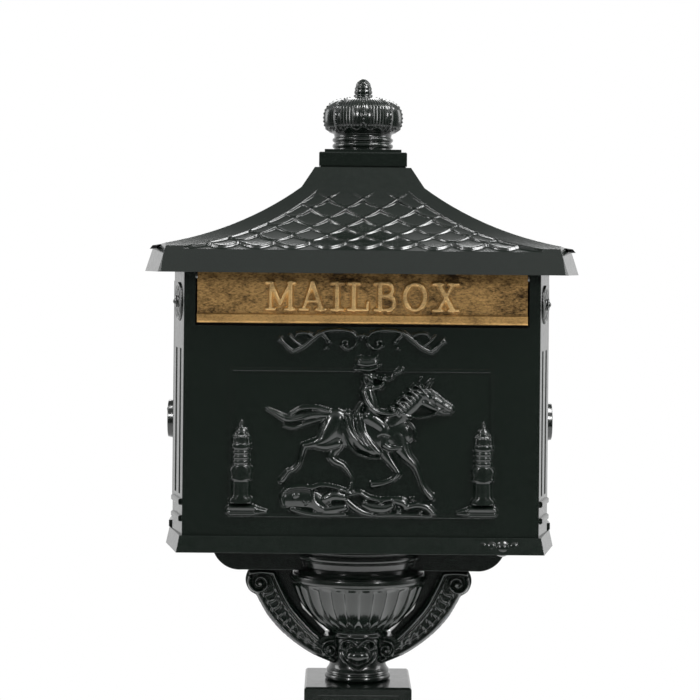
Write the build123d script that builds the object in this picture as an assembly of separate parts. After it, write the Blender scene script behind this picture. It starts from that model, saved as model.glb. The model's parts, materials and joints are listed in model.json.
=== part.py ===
from build123d import *
import math
import os

# Pedestal letter box, cast in painted aluminium. Millimetres, +Z up, front towards -Y,
# origin on the ground at the middle of the foot.

# ---------------------------------------------------------------- heights of the castings
FOOT_T = 14.0
BASE_TOP = 95.0
SHAFT_TOP = 519.0
CAP_TOP = 559.0
BOWL_RIM = 667.0
CRADLE_BOTTOM = 671.0
FLANGE_BOTTOM = 702.5
FLANGE_TOP = 718.5
EAVE = 972.0
BODY_TOP = 980.0
FASCIA_H = 25.0
ROOF_KINK = 1057.0
ROOF_TOP = 1077.5
PLINTH_TOP = 1096.0
HEIGHT = 1170.0

# ---------------------------------------------------------------- foot and column
FOOT = 290.0
ANCHOR_SPACING = 240.0
ANCHOR_R = 5.5
BASE_LOW = 206.0
BASE_HIGH = 128.0
CAST_WALL = 5.0
SHAFT = 92.0
CAP = 107.0
FLUTE_R = 9.0
FLUTE_DEPTH = 2.5
WEB_T = 8.0
WEB_BOTTOM = 60.0

# ---------------------------------------------------------------- urn and consoles
NECK_R = 28.0
COLLAR_R = 33.5
BOWL_LOW_R = 32.0
BOWL_HIGH_R = 67.0
RIM_R = 70.0
CONSOLE_HALF_T = 17.0
CONSOLE_WEB_HALF_T = 7.0
CRADLE_HALF_L = 148.5
CRADLE_FLAT = 118.0
CRADLE_HALF_D = 20.0
DISC_R = 63.0
CRADLE_BOLT_SPOTS = ((-78.0, 0.0), (78.0, 0.0))
CONSOLE_SCREW_X = 98.0

# ---------------------------------------------------------------- box body
BODY_FRONT_HALF = 171.8
BODY_SIDE_HALF = 185.0
BODY_HALF_D = 125.0
BODY_SPLAY = 55.0
GROOVE_R = 6.5
GROOVE_DEPTH = 2.2
GROOVE_OFF = 11.5
GROOVE_LOW = 757.0
GROOVE_HIGH = 898.0
WALL = 5.0
PANEL_IN = BODY_HALF_D - WALL
FLANGE_FRONT_HALF = 177.0
FLANGE_SIDE_HALF = 192.3
FLANGE_HALF_D = 131.0
FLANGE_SPLAY = 75.0
FLANGE_BATTER = 12.3
FLOOR_T = 6.0
LUG_LUMPS = ((118.0, 7.4), (126.5, 8.0), (137.0, 9.2), (148.0, 7.8))
FLANGE_LIP_IN = 150.0
FLANGE_LIP_T = 4.0
ROSETTE_Z = 943.0
ROSETTE_R = 18.5
ROSETTE_T = 1.2
BEAD_ZS = (734.0, 750.0)
BEAD_T = 2.6
EMBLEM_HALF_H = 21.0
EMBLEM_HALF_D = 17.0

# ---------------------------------------------------------------- letter slot and flap
POCKET_HALF = 161.0
POCKET_BOTTOM = 920.5
POCKET_BACK = -111.0
POCKET_WALL = 4.0
SLOT_HALF = 152.0
SLOT_LOW = 926.0
SLOT_HIGH = 958.0
FLAP_HALF = 159.2
FLAP_LOW = 923.2
FLAP_HIGH = 975.0
FLAP_FRONT = -124.5
FLAP_T = 4.0
LIP_H = 9.5
LIP_FRONT = -127.5
FLAP_AXIS_Y = -117.0
FLAP_AXIS_Z = 968.0
FLAP_BARREL_R = 4.4
FLAP_ROD_R = 2.5

# ---------------------------------------------------------------- rear door and lock
DOOR_OPEN_HALF = 140.0
DOOR_OPEN_LOW = 742.0
DOOR_OPEN_HIGH = 952.0
DOOR_GAP = 1.5
DOOR_BACK = 120.5
RETURN_T = 4.0
RETURN_IN = 112.0
STOP_W = 5.0
STOP_IN = 118.0
HINGE_X = 146.0
HINGE_Y = 131.5
KNUCKLE_R = 5.5
HINGE_PIN_R = 2.5
HINGE_ZS = (780.0, 914.0)
KNUCKLE_H = 14.0
LOCK_X = -118.0
LOCK_Z = 847.0
LOCK_R = 9.5
PLUG_R = 6.5
CAM_FRONT = 109.5
CAM_T = 2.5

# ---------------------------------------------------------------- roof and finial
EAVE_FRONT_HALF = 194.7
EAVE_SIDE_HALF = 215.0
EAVE_HALF_D = 155.0
EAVE_SPLAY = 93.0
FASCIA_SET_BACK = 8.0
KINK_HALF = 61.0
ROOF_TOP_HALF = 48.0
SIDE_SWEEP = 30.0
FRONT_SWEEP = 30.0
ROOF_WALL = 5.0
ROOF_DROP = 7.0
FIELD_DEPTH = 2.7
FIELD_ZS = (997.0, 1005.0, 1016.0, 1034.0, 1054.0)
FIELD_MARGIN_HIGH = 19.0
FIELD_MARGIN_LOW = 36.0
EAVE_BEVEL = 2.5
SOFFIT_T = 3.0
SOFFIT_SCREW_SPOTS = ((195.0, 40.0), (100.0, 137.0))
RING_SCREW_SPOTS = ((182.4, 52.0),)
FLOOR_SCREW_SPOTS = ((182.4, 50.0),)

# ---------------------------------------------------------------- fasteners
ROD_R = 6.0
ROD_HOLE_R = 6.5
ROD_NUT_R = 11.0
ROD_NUT_H = 10.0
WASHER_T = 2.5
STUD_R = 4.0
FIT = 0.05


# ================================================================ helpers
def block(x0, x1, y0, y1, z0, z1):
    """Box between two corners."""
    return Pos(x0, y0, z0) * Box(x1 - x0, y1 - y0, z1 - z0, align=(Align.MIN, Align.MIN, Align.MIN))


def square(side, z0, z1):
    """Square block centred on the column's axis."""
    half = side / 2
    return block(-half, half, -half, half, z0, z1)


def post(radius, z0, z1, x=0.0, y=0.0):
    """Upright cylinder."""
    return Pos(x, y, z0) * Cylinder(radius, z1 - z0, align=(Align.CENTER, Align.CENTER, Align.MIN))


def along_x(radius, x0, x1, y, z):
    """Cylinder lying along X."""
    return Pos(x0, y, z) * Rot(0, 90, 0) * Cylinder(radius, x1 - x0, align=(Align.CENTER, Align.CENTER, Align.MIN))


def along_y(radius, y0, y1, x, z):
    """Cylinder lying along Y."""
    return Pos(x, y0, z) * Rot(-90, 0, 0) * Cylinder(radius, y1 - y0, align=(Align.CENTER, Align.CENTER, Align.MIN))


def turned(points):
    """Solid turned about Z from (radius, height) points; a point given as "arc" bends the step it sits in."""
    edges = []
    last = points[0]
    through = None
    for point in points[1:] + points[:1]:
        if point[0] == "arc":
            through = point[1:]
            continue
        if through:
            edges.append(ThreePointArc(last, through, point))
        else:
            edges.append(Line(last, point))
        last = point
        through = None
    return revolve(Plane.XZ * make_face(edges), Axis.Z)


def splayed_plan(front_half, side_half, half_depth, splay):
    """Eight-sided outline: flat front and back, long sides, and four corners that open towards the middle."""
    shoulder = half_depth - splay
    right = [
        (front_half, -half_depth),
        (side_half, -shoulder),
        (side_half, shoulder),
        (front_half, half_depth),
    ]
    left = [(-x, y) for x, y in reversed(right)]
    return make_face(Polyline(*right, *left, close=True))


def inset(face, amount):
    """Outline moved inwards by an even amount, with sharp corners."""
    return offset(face, amount=-amount, kind=Kind.INTERSECTION)


def prism(face, z0, z1, taper=0.0):
    """Outline raised from z0 to z1."""
    return Pos(0, 0, z0) * extrude(face, amount=z1 - z0, taper=taper)


def body_plan():
    return splayed_plan(BODY_FRONT_HALF, BODY_SIDE_HALF, BODY_HALF_D, BODY_SPLAY)


def screw(shank_r, length, head_r, head_h, slot=False):
    """Pan-head screw: the head sits on z = 0 and the shank hangs below it."""
    made = post(head_r, 0, head_h) + post(shank_r, -length, 0)
    if slot:
        made -= block(-head_r, head_r, -0.5, 0.5, head_h * 0.55, head_h)
    return made


def hex_nut(across_r, height, hole_r):
    """Hexagon nut standing on z = 0."""
    return extrude(RegularPolygon(across_r, 6), amount=height) - post(hole_r, 0, height)


def washer(outer_r, hole_r, thickness):
    return post(outer_r, 0, thickness) - post(hole_r, 0, thickness)


def four_ways(spots):
    """Each (x, y) spot repeated in all four quarters."""
    return [(sx * x, sy * y) for x, y in spots for sx in (-1, 1) for sy in (-1, 1)]


def mirrored(shape):
    """The same piece on the other side of the middle plane."""
    return mirror(shape, about=Plane.YZ)


# ================================================================ foot and column
def cove(low, high, z0, z1):
    """Square rise whose four faces sweep in on a hollow curve, with mitred corners."""
    reach = (low - high) / 2
    rise = z1 - z0
    bow = (high / 2 + reach * 0.26, z0 + rise * 0.38)
    right = [Line((0, z0), (low / 2, z0)), ThreePointArc((low / 2, z0), bow, (high / 2, z1))]
    face = make_face(right + [Line((high / 2, z1), (0, z1)), Line((0, z1), (0, z0))])
    half = Plane.XZ * face
    swept = extrude(half, amount=low, both=True)
    swept += mirrored(swept)
    return swept & (Rot(0, 0, 90) * swept)


def base_casting():
    made = square(FOOT, 0, FOOT_T)
    made = fillet(made.edges().filter_by(Axis.Z), 12)
    made += cove(BASE_LOW, BASE_HIGH, FOOT_T, BASE_TOP - 15)
    made += square(BASE_HIGH, BASE_TOP - 15, BASE_TOP)
    inner = cove(BASE_LOW - 3 * CAST_WALL, BASE_HIGH - 2 * CAST_WALL, FOOT_T - 6, WEB_BOTTOM)
    made -= inner + square(BASE_LOW - 3 * CAST_WALL, 0, FOOT_T - 6)
    made -= square(SHAFT - 2 * CAST_WALL, WEB_BOTTOM + WEB_T, BASE_TOP)
    made -= post(ROD_HOLE_R, 0, BASE_TOP)
    spots = four_ways([(ANCHOR_SPACING / 2, ANCHOR_SPACING / 2)])
    recess = square(FOOT - 16, 0, FOOT_T - 6)
    for x, y in spots:
        recess -= post(15, 0, FOOT_T - 6, x, y)
    made -= recess
    for x, y in spots:
        made -= post(ANCHOR_R, 0, FOOT_T, x, y)
    return made


def column_shaft():
    made = square(SHAFT, BASE_TOP, SHAFT_TOP) - square(SHAFT - 2 * CAST_WALL, BASE_TOP, SHAFT_TOP)
    centre = SHAFT / 2 + FLUTE_R - FLUTE_DEPTH
    low, high = BASE_TOP + 30, SHAFT_TOP - 30
    for turn in range(4):
        for x in (-25.0, 0.0, 25.0):
            groove = post(FLUTE_R, low, high, x, -centre)
            groove += Pos(x, -centre, low) * Sphere(FLUTE_R) + Pos(x, -centre, high) * Sphere(FLUTE_R)
            made -= Rot(0, 0, 90 * turn) * groove
    return made


def column_cap():
    made = square(CAP, SHAFT_TOP, CAP_TOP)
    made = chamfer(made.edges().group_by(Axis.Z)[-1], 2.0)
    made -= square(SHAFT - 2 * CAST_WALL, SHAFT_TOP, CAP_TOP - WEB_T)
    for turn in range(4):
        panel = block(-40, 40, -CAP / 2, -CAP / 2 + 1.5, SHAFT_TOP + 8, CAP_TOP - 8)
        made -= Rot(0, 0, 90 * turn) * panel
    return made - post(ROD_HOLE_R, SHAFT_TOP, CAP_TOP)


# ================================================================ urn, consoles and cradle
def bowl_outside():
    """Outer shape of the neck and bowl, with no hollow."""
    return turned([
        (0, CAP_TOP),
        (31, CAP_TOP),
        (31, CAP_TOP + 2),
        ("arc", COLLAR_R, CAP_TOP + 6),
        (31, CAP_TOP + 10),
        (NECK_R, CAP_TOP + 17),
        ("arc", NECK_R - 1.5, 592),
        (NECK_R, 602),
        ("arc", NECK_R + 2.5, 605.5),
        (NECK_R, 609),
        (BOWL_LOW_R, 611),
        ("arc", 53.5, 630),
        (BOWL_HIGH_R, 656),
        (BOWL_HIGH_R, 659),
        (RIM_R, BOWL_RIM - 6),
        (RIM_R, BOWL_RIM),
        (0, BOWL_RIM),
    ])


def capital_bowl():
    hollow = turned([
        (0, 617),
        (27, 617),
        ("arc", 48, 633),
        (BOWL_HIGH_R - 5.5, 657),
        (BOWL_HIGH_R - 5.5, BOWL_RIM),
        (0, BOWL_RIM),
    ])
    return bowl_outside() - hollow - post(ROD_HOLE_R, CAP_TOP, 617)


def bowl_lid():
    made = turned([
        (ROD_HOLE_R, BOWL_RIM),
        (66, BOWL_RIM),
        (66, BOWL_RIM + 1),
        ("arc", 63, BOWL_RIM + 2),
        (61, CRADLE_BOTTOM),
        (ROD_HOLE_R, CRADLE_BOTTOM),
    ])
    return made + turned_ring(BOWL_HIGH_R - 6, 55, BOWL_RIM - 5, BOWL_RIM)


def turned_ring(outer_r, inner_r, z0, z1):
    return post(outer_r, z0, z1) - post(inner_r, z0, z1)


def console_outline():
    """S-shaped bracket seen from the front, left side, from the cradle down to the neck."""
    outer_top = (-111, CRADLE_BOTTOM)
    outer = [
        Line((-84, CRADLE_BOTTOM), outer_top),
        ThreePointArc(outer_top, (-113.6, 656), (-103, 645.5)),
        ThreePointArc((-103, 645.5), (-72, 604.5), (-24, 577)),
    ]
    inner = [
        Line((-24, 577), (-19, 591)),
        ThreePointArc((-19, 591), (-27, 604), (-37, 602)),
        ThreePointArc((-37, 602), (-66.5, 634), (-84, CRADLE_BOTTOM)),
    ]
    return make_face(outer + inner)


def console_web():
    """Thin web between the bracket and the bowl."""
    return make_face(Polyline(
        (-90, CRADLE_BOTTOM),
        (-66.8, CRADLE_BOTTOM),
        (-66.8, 655),
        (-56, 630),
        (-33, 607),
        (-37, 599),
        (-68, 632),
        (-90, CRADLE_BOTTOM),
    ))


def console_left():
    made = extrude(Plane.XZ * console_outline(), amount=CONSOLE_HALF_T, both=True)
    made += extrude(Plane.XZ * console_web(), amount=CONSOLE_WEB_HALF_T, both=True)
    made -= bowl_outside()
    return made - post(2.5, 650, CRADLE_BOTTOM, -CONSOLE_SCREW_X)


def shell_bosses():
    """Cabochon on the front of the neck and its twin on the back."""
    front = along_y(12.5, -37, 0, 0, 586)
    front = fillet(front.edges().group_by(Axis.Y)[0], 5)
    front -= bowl_outside()
    front = front.solids().sort_by(Axis.Y)[0]
    return [front, Rot(0, 0, 180) * front]


def cradle_profile(grow, low, high):
    """Boat-shaped outline in X and Z: flat bottom and bulging ends."""
    full = CRADLE_HALF_L - grow
    flat = CRADLE_FLAT - grow
    rise = high - low
    bulge = (flat + (full - flat) * 0.72, low + rise * 0.245)
    face = make_face([
        Line((-flat, low), (flat, low)),
        ThreePointArc((flat, low), bulge, (full, high)),
        Line((full, high), (-full, high)),
        ThreePointArc((-full, high), (-bulge[0], bulge[1]), (-flat, low)),
    ])
    return Plane.XZ * face


def cradle_plate():
    made = extrude(cradle_profile(0, CRADLE_BOTTOM, FLANGE_BOTTOM), amount=CRADLE_HALF_D, both=True)
    disc = turned([
        (0, CRADLE_BOTTOM),
        (56, CRADLE_BOTTOM),
        (56, 674),
        (59, 675),
        (60.5, 680.5),
        (60.5, 682),
        ("arc", DISC_R, 685.5),
        (61, 689),
        (61, 690.5),
        ("arc", DISC_R - 0.5, 692),
        (61, 693.5),
        (61, 695),
        (DISC_R, 696.5),
        (DISC_R, FLANGE_BOTTOM),
        (0, FLANGE_BOTTOM),
    ])
    made += disc
    hollow_top = FLANGE_BOTTOM
    made -= extrude(cradle_profile(6, CRADLE_BOTTOM + 6, hollow_top), amount=CRADLE_HALF_D - 5, both=True)
    made += turned_ring(16, ROD_HOLE_R, CRADLE_BOTTOM, FLANGE_BOTTOM)
    made -= post(ROD_HOLE_R, CRADLE_BOTTOM, FLANGE_BOTTOM)
    for x, y in CRADLE_BOLT_SPOTS:
        made += post(9, CRADLE_BOTTOM + 3, FLANGE_BOTTOM, x, y)
        made -= post(4 + FIT, 685, FLANGE_BOTTOM, x, y)
    for x in (-CONSOLE_SCREW_X, CONSOLE_SCREW_X):
        made -= post(2.7, CRADLE_BOTTOM, CRADLE_BOTTOM + 6, x, 0)
    return made


def console_screws():
    one = Pos(-CONSOLE_SCREW_X, 0, CRADLE_BOTTOM + 6) * screw(2.4, 20, 4.5, 3)
    return [one, mirrored(one)]


def cradle_bolts():
    top = FLANGE_BOTTOM + FLOOR_T + WASHER_T
    one = hex_nut(7.5, 5.5, 1.0) + post(4, -25, 5.5)
    return [Pos(x, y, top) * one for x, y in CRADLE_BOLT_SPOTS]


def cradle_washers():
    floor = FLANGE_BOTTOM + FLOOR_T
    one = washer(9, 4.3, WASHER_T)
    return [Pos(x, y, floor) * one for x, y in CRADLE_BOLT_SPOTS]


def tie_rod():
    top = FLANGE_BOTTOM + FLOOR_T + WASHER_T + ROD_NUT_H + 5
    return chamfer(post(ROD_R, WEB_BOTTOM - WASHER_T - ROD_NUT_H - 4, top).edges().filter_by(GeomType.CIRCLE), 1.0)


def tie_rod_nuts():
    nut = hex_nut(ROD_NUT_R, ROD_NUT_H, ROD_R + FIT)
    return [
        Pos(0, 0, WEB_BOTTOM - WASHER_T - ROD_NUT_H) * nut,
        Pos(0, 0, FLANGE_BOTTOM + FLOOR_T + WASHER_T) * nut,
    ]


def tie_rod_washers():
    plate = washer(14, ROD_HOLE_R, WASHER_T)
    return [Pos(0, 0, WEB_BOTTOM - WASHER_T) * plate, Pos(0, 0, FLANGE_BOTTOM + FLOOR_T) * plate]


# ================================================================ box body
def floor_casting():
    """Bottom pan: battered flange all round, a recess inside the walls and a cast lug on the front right."""
    outer = splayed_plan(FLANGE_FRONT_HALF, FLANGE_SIDE_HALF, FLANGE_HALF_D, FLANGE_SPLAY)
    made = prism(outer, FLANGE_BOTTOM, FLANGE_TOP, taper=FLANGE_BATTER)
    for x, r in LUG_LUMPS:
        made += Pos(x, -122.0, FLANGE_TOP - r - 0.3) * Sphere(r)
    made -= prism(inset(body_plan(), WALL + 5), FLANGE_BOTTOM + FLOOR_T, FLANGE_TOP + 2)
    made -= block(100, 160, -140, -110, FLANGE_TOP, FLANGE_TOP + 2)
    made -= post(ROD_HOLE_R, FLANGE_BOTTOM, FLANGE_TOP)
    for x, y in CRADLE_BOLT_SPOTS:
        made -= post(4.5, FLANGE_BOTTOM, FLANGE_TOP, x, y)
    for x, y in four_ways(FLOOR_SCREW_SPOTS):
        made -= post(2.2, FLANGE_BOTTOM, FLANGE_TOP, x, y)
    return made


def floor_screws():
    """Screws from under the flange up into the side castings."""
    one = Rot(180, 0, 0) * screw(2, 26, 4, 2.6, slot=True)
    return [Pos(x, y, FLANGE_BOTTOM) * one for x, y in four_ways(FLOOR_SCREW_SPOTS)]


def front_screw_spots():
    return [(sx * 156.0, z) for sx in (-1, 1) for z in (760.0, 820.0, 880.0)]


def front_panel():
    slab = block(-200, 200, -BODY_HALF_D, -PANEL_IN, FLANGE_TOP, BODY_TOP)
    made = prism(body_plan(), FLANGE_TOP, BODY_TOP) & slab
    made -= block(-POCKET_HALF, POCKET_HALF, -BODY_HALF_D, -PANEL_IN, POCKET_BOTTOM, BODY_TOP)
    tray_half = POCKET_HALF + POCKET_WALL
    tray_back = POCKET_BACK + POCKET_WALL
    pocket = block(-tray_half, tray_half, -PANEL_IN, tray_back, POCKET_BOTTOM - POCKET_WALL, BODY_TOP)
    pocket -= block(-POCKET_HALF, POCKET_HALF, -PANEL_IN, POCKET_BACK, POCKET_BOTTOM, BODY_TOP)
    made += pocket
    made -= block(-SLOT_HALF, SLOT_HALF, POCKET_BACK, tray_back, SLOT_LOW, SLOT_HIGH)
    for side in (-1, 1):
        inner, outer = sorted((side * 154.0, side * 160.0))
        made += block(inner, outer, -120.2, POCKET_BACK, SLOT_LOW - 3, SLOT_LOW + 3)
    made -= along_x(FLAP_ROD_R + FIT, -tray_half, tray_half, FLAP_AXIS_Y, FLAP_AXIS_Z)
    frame = block(-127, 127, -BODY_HALF_D - 1.2, -BODY_HALF_D, 737, 880.5)
    frame -= block(-124, 124, -BODY_HALF_D - 1.2, -BODY_HALF_D, 740, 877.5)
    made += frame
    for x, z in front_screw_spots():
        made -= along_y(2.05, -124, -PANEL_IN, x, z)
    return made


def front_panel_screws():
    one = Rot(-90, 0, 0) * screw(2, 7.5, 3.6, 2.4)
    return [Pos(x, -PANEL_IN + FLANGE_LIP_T, z) * one for x, z in front_screw_spots()]


def rear_screw_spots():
    return [(sx * 156.5, z) for sx in (-1, 1) for z in (738.0, 815.0, 880.0, 962.0)]


def splay_frame(side):
    """Position on the middle of a front corner strip, facing straight out of it."""
    lean = math.degrees(math.atan2(BODY_SIDE_HALF - BODY_FRONT_HALF, BODY_SPLAY))
    x = side * (BODY_FRONT_HALF + BODY_SIDE_HALF) / 2
    return Pos(x, -BODY_HALF_D + BODY_SPLAY / 2, 0) * Rot(0, 0, side * (90 - lean))


def strip_flutes(side):
    """Two long hollow flutes on a corner strip."""
    made = None
    for x in (-GROOVE_OFF, GROOVE_OFF):
        one = post(GROOVE_R, GROOVE_LOW, GROOVE_HIGH, x, GROOVE_DEPTH - GROOVE_R)
        made = one if made is None else made + one
    return splay_frame(side) * made


def corner_trim(side):
    """Rosette and two beads on a corner strip."""
    rosette = along_y(ROSETTE_R, -ROSETTE_T, 2, 0, ROSETTE_Z)
    boss = along_y(6, -4, 0, 0, ROSETTE_Z)
    made = rosette + boss
    for z in BEAD_ZS:
        made += chamfer(block(-22, 22, -BEAD_T, 1, z - 3, z + 3).edges().filter_by(Axis.X).group_by(Axis.Y)[0], 1.2)
    return splay_frame(side) * made


def right_side_panel():
    shell = prism(body_plan(), FLANGE_TOP, BODY_TOP) - prism(inset(body_plan(), WALL), FLANGE_TOP, BODY_TOP)
    made = shell & block(150, 200, -PANEL_IN, PANEL_IN, FLANGE_TOP, BODY_TOP)
    made += block(FLANGE_LIP_IN, 168, -PANEL_IN, -PANEL_IN + FLANGE_LIP_T, FLANGE_TOP, 905)
    made += block(FLANGE_LIP_IN, 168, PANEL_IN - FLANGE_LIP_T, PANEL_IN, FLANGE_TOP, BODY_TOP)
    flutes = strip_flutes(1)
    made -= flutes + mirror(flutes, about=Plane.XZ)
    trim = corner_trim(1) + mirror(corner_trim(1), about=Plane.XZ)
    trim += block(182, 189.5, -56, 56, FLANGE_TOP, FLANGE_TOP + 6.5)
    oval = Ellipse(EMBLEM_HALF_H, EMBLEM_HALF_D)
    trim += Pos(184, 0, 822) * Rot(0, 90, 0) * extrude(oval, amount=11, taper=12)
    trim -= prism(inset(body_plan(), 1), FLANGE_TOP, BODY_TOP)
    made += trim
    for x, z in front_screw_spots():
        made -= along_y(2.2, -PANEL_IN, -PANEL_IN + FLANGE_LIP_T, x, z)
    for x, z in rear_screw_spots():
        made -= along_y(2.05, PANEL_IN - FLANGE_LIP_T, PANEL_IN, x, z)
    for x, y in four_ways(RING_SCREW_SPOTS):
        made -= post(1.55, BODY_TOP - 12, BODY_TOP, x, y)
    for x, y in four_ways(FLOOR_SCREW_SPOTS):
        made -= post(2.05, FLANGE_TOP, FLANGE_TOP + 11, x, y)
    return made


def rear_frame():
    """Rear panel with the door opening, its return wall, the door stop and the fixed hinge knuckles."""
    made = prism(body_plan(), FLANGE_TOP, BODY_TOP) & block(-200, 200, PANEL_IN, BODY_HALF_D, FLANGE_TOP, BODY_TOP)
    half = DOOR_OPEN_HALF
    low, high = DOOR_OPEN_LOW, DOOR_OPEN_HIGH
    made += block(-half - RETURN_T, half + RETURN_T, RETURN_IN, PANEL_IN, low - RETURN_T, high + RETURN_T)
    made -= block(-half, half, STOP_IN + 2, BODY_HALF_D, low, high)
    made -= block(-half, half, RETURN_IN, STOP_IN, low, high)
    made -= block(-half + STOP_W, half - STOP_W, RETURN_IN, BODY_HALF_D, low + STOP_W, high - STOP_W)
    for z in HINGE_ZS:
        for base in (z - KNUCKLE_H - 0.4, z + KNUCKLE_H + 0.4):
            made += post(KNUCKLE_R, base, base + KNUCKLE_H, HINGE_X, HINGE_Y)
            made += block(HINGE_X, HINGE_X + 12, BODY_HALF_D - 1, HINGE_Y + 1.5, base, base + KNUCKLE_H)
        made -= post(HINGE_PIN_R + 0.02, z - 20, z + 40, HINGE_X, HINGE_Y)
    for x, z in rear_screw_spots():
        made -= along_y(2.2, PANEL_IN, BODY_HALF_D, x, z)
    return made


def rear_frame_screws():
    one = Rot(-90, 0, 0) * screw(2, 8.5, 4.2, 2.6, slot=True)
    return [Pos(x, BODY_HALF_D, z) * one for x, z in rear_screw_spots()]


def door_hinge_pins():
    return [post(HINGE_PIN_R, z - 17, z + 31, HINGE_X, HINGE_Y) for z in HINGE_ZS]


def mail_chute():
    """Folded plate under the slot that turns letters down and keeps fingers out."""
    back = POCKET_BACK + POCKET_WALL
    side = [
        (back, 924),
        (back, 922.4),
        (back + 6, 922.4),
        (back + 48, 893),
        (back + 49, 894.3),
        (back + 6.5, 924),
    ]
    face = Plane.YZ * make_face(Polyline(*side, close=True))
    made = Pos(-SLOT_HALF + 2, 0, 0) * extrude(face, amount=2 * SLOT_HALF - 4)
    tab = block(-SLOT_HALF + 2, SLOT_HALF - 2, back, back + 1.6, 912, 923)
    for x in chute_screw_spots():
        tab -= along_y(1.7, back, back + 1.6, x, 918.5)
    return made + tab


def chute_screw_spots():
    return (-120.0, 0.0, 120.0)


def chute_screws():
    back = POCKET_BACK + POCKET_WALL
    one = Rot(-90, 0, 0) * screw(1.5, 1.6, 2.8, 1.8)
    return [Pos(x, back + 1.6, 918.5) * one for x in chute_screw_spots()]


# ================================================================ letter flap
def letter_flap():
    front = block(-FLAP_HALF, FLAP_HALF, FLAP_FRONT, FLAP_FRONT + FLAP_T, FLAP_LOW, FLAP_HIGH)
    lip = block(-FLAP_HALF, FLAP_HALF, LIP_FRONT, FLAP_FRONT + 1, FLAP_LOW, FLAP_LOW + LIP_H)
    lip = fillet(lip.edges().filter_by(Axis.X).group_by(Axis.Y)[0], 2.5)
    made = front + lip
    for x0, x1 in ((-157.0, -120.0), (120.0, 157.0)):
        made += along_x(FLAP_BARREL_R, x0, x1, FLAP_AXIS_Y, FLAP_AXIS_Z)
        made -= along_x(FLAP_ROD_R + FIT, x0, x1, FLAP_AXIS_Y, FLAP_AXIS_Z)
    return made


def flap_rod():
    reach = POCKET_HALF + POCKET_WALL + 2.2
    return along_x(FLAP_ROD_R, -reach, reach, FLAP_AXIS_Y, FLAP_AXIS_Z)


# ================================================================ rear door and lock
def rear_door():
    half = DOOR_OPEN_HALF - DOOR_GAP
    low, high = DOOR_OPEN_LOW + DOOR_GAP, DOOR_OPEN_HIGH - DOOR_GAP
    made = block(-half, half, DOOR_BACK, BODY_HALF_D, low, high)
    border = block(-half + 9, half - 14, BODY_HALF_D, BODY_HALF_D + 2, low + 9, high - 9)
    border -= block(-half + 21, half - 26, BODY_HALF_D, BODY_HALF_D + 2, low + 21, high - 21)
    made += border
    grip = block(-half + 1, -half + 7, BODY_HALF_D, BODY_HALF_D + 9, LOCK_Z - 60, LOCK_Z - 25)
    made += fillet(grip.edges().filter_by(Axis.Z).group_by(Axis.Y)[-1], 2.5)
    made += along_y(15, BODY_HALF_D, BODY_HALF_D + 2, LOCK_X, LOCK_Z)
    for z in HINGE_ZS:
        leaf = block(half - 9, HINGE_X, BODY_HALF_D + 0.3, HINGE_Y - 1.3, z + 0.3, z + KNUCKLE_H - 0.3)
        root = block(half - 9, half, BODY_HALF_D - 1, BODY_HALF_D + 0.4, z + 0.3, z + KNUCKLE_H - 0.3)
        made += leaf + root + post(KNUCKLE_R, z + 0.3, z + KNUCKLE_H - 0.3, HINGE_X, HINGE_Y)
        made -= post(HINGE_PIN_R + FIT, z, z + KNUCKLE_H, HINGE_X, HINGE_Y)
    return made - along_y(LOCK_R + FIT, DOOR_BACK, BODY_HALF_D + 2, LOCK_X, LOCK_Z)


def lock_barrel():
    flange = BODY_HALF_D + 2
    made = along_y(LOCK_R, CAM_FRONT + 3, flange, LOCK_X, LOCK_Z)
    made += along_y(12.5, flange, flange + 3, LOCK_X, LOCK_Z)
    made -= along_y(PLUG_R + FIT, CAM_FRONT + 3, flange + 3, LOCK_X, LOCK_Z)
    return made


def lock_nut():
    nut = hex_nut(14, 4, LOCK_R + FIT)
    return Pos(LOCK_X, DOOR_BACK, LOCK_Z) * Rot(90, 0, 0) * nut


def lock_plug():
    """Turning core of the lock, with its keyway, and a square tail that carries the cam."""
    face = BODY_HALF_D + 4.2
    made = along_y(PLUG_R, CAM_FRONT + 2.6, face, LOCK_X, LOCK_Z)
    made -= block(LOCK_X - 0.9, LOCK_X + 0.9, face - 9, face, LOCK_Z - 4, LOCK_Z + 4)
    made += block(LOCK_X - 4, LOCK_X + 4, CAM_FRONT - CAM_T, CAM_FRONT + 2.6, LOCK_Z - 4, LOCK_Z + 4)
    return made - along_y(2.0, CAM_FRONT - CAM_T, CAM_FRONT + 7, LOCK_X, LOCK_Z)


def lock_cam():
    """Flat tongue that points up when unlocked and swings behind the frame when locked."""
    arm = Pos(0, 11) * RectangleRounded(15, 44, 6)
    hub = arm - Rectangle(8.1, 8.1)
    return Pos(LOCK_X, CAM_FRONT, LOCK_Z) * Rot(90, 0, 0) * extrude(hub, amount=CAM_T)


def cam_screw():
    one = Rot(90, 0, 0) * screw(1.95, 8, 6.4, 2.4)
    return Pos(LOCK_X, CAM_FRONT - CAM_T, LOCK_Z) * one


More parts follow.
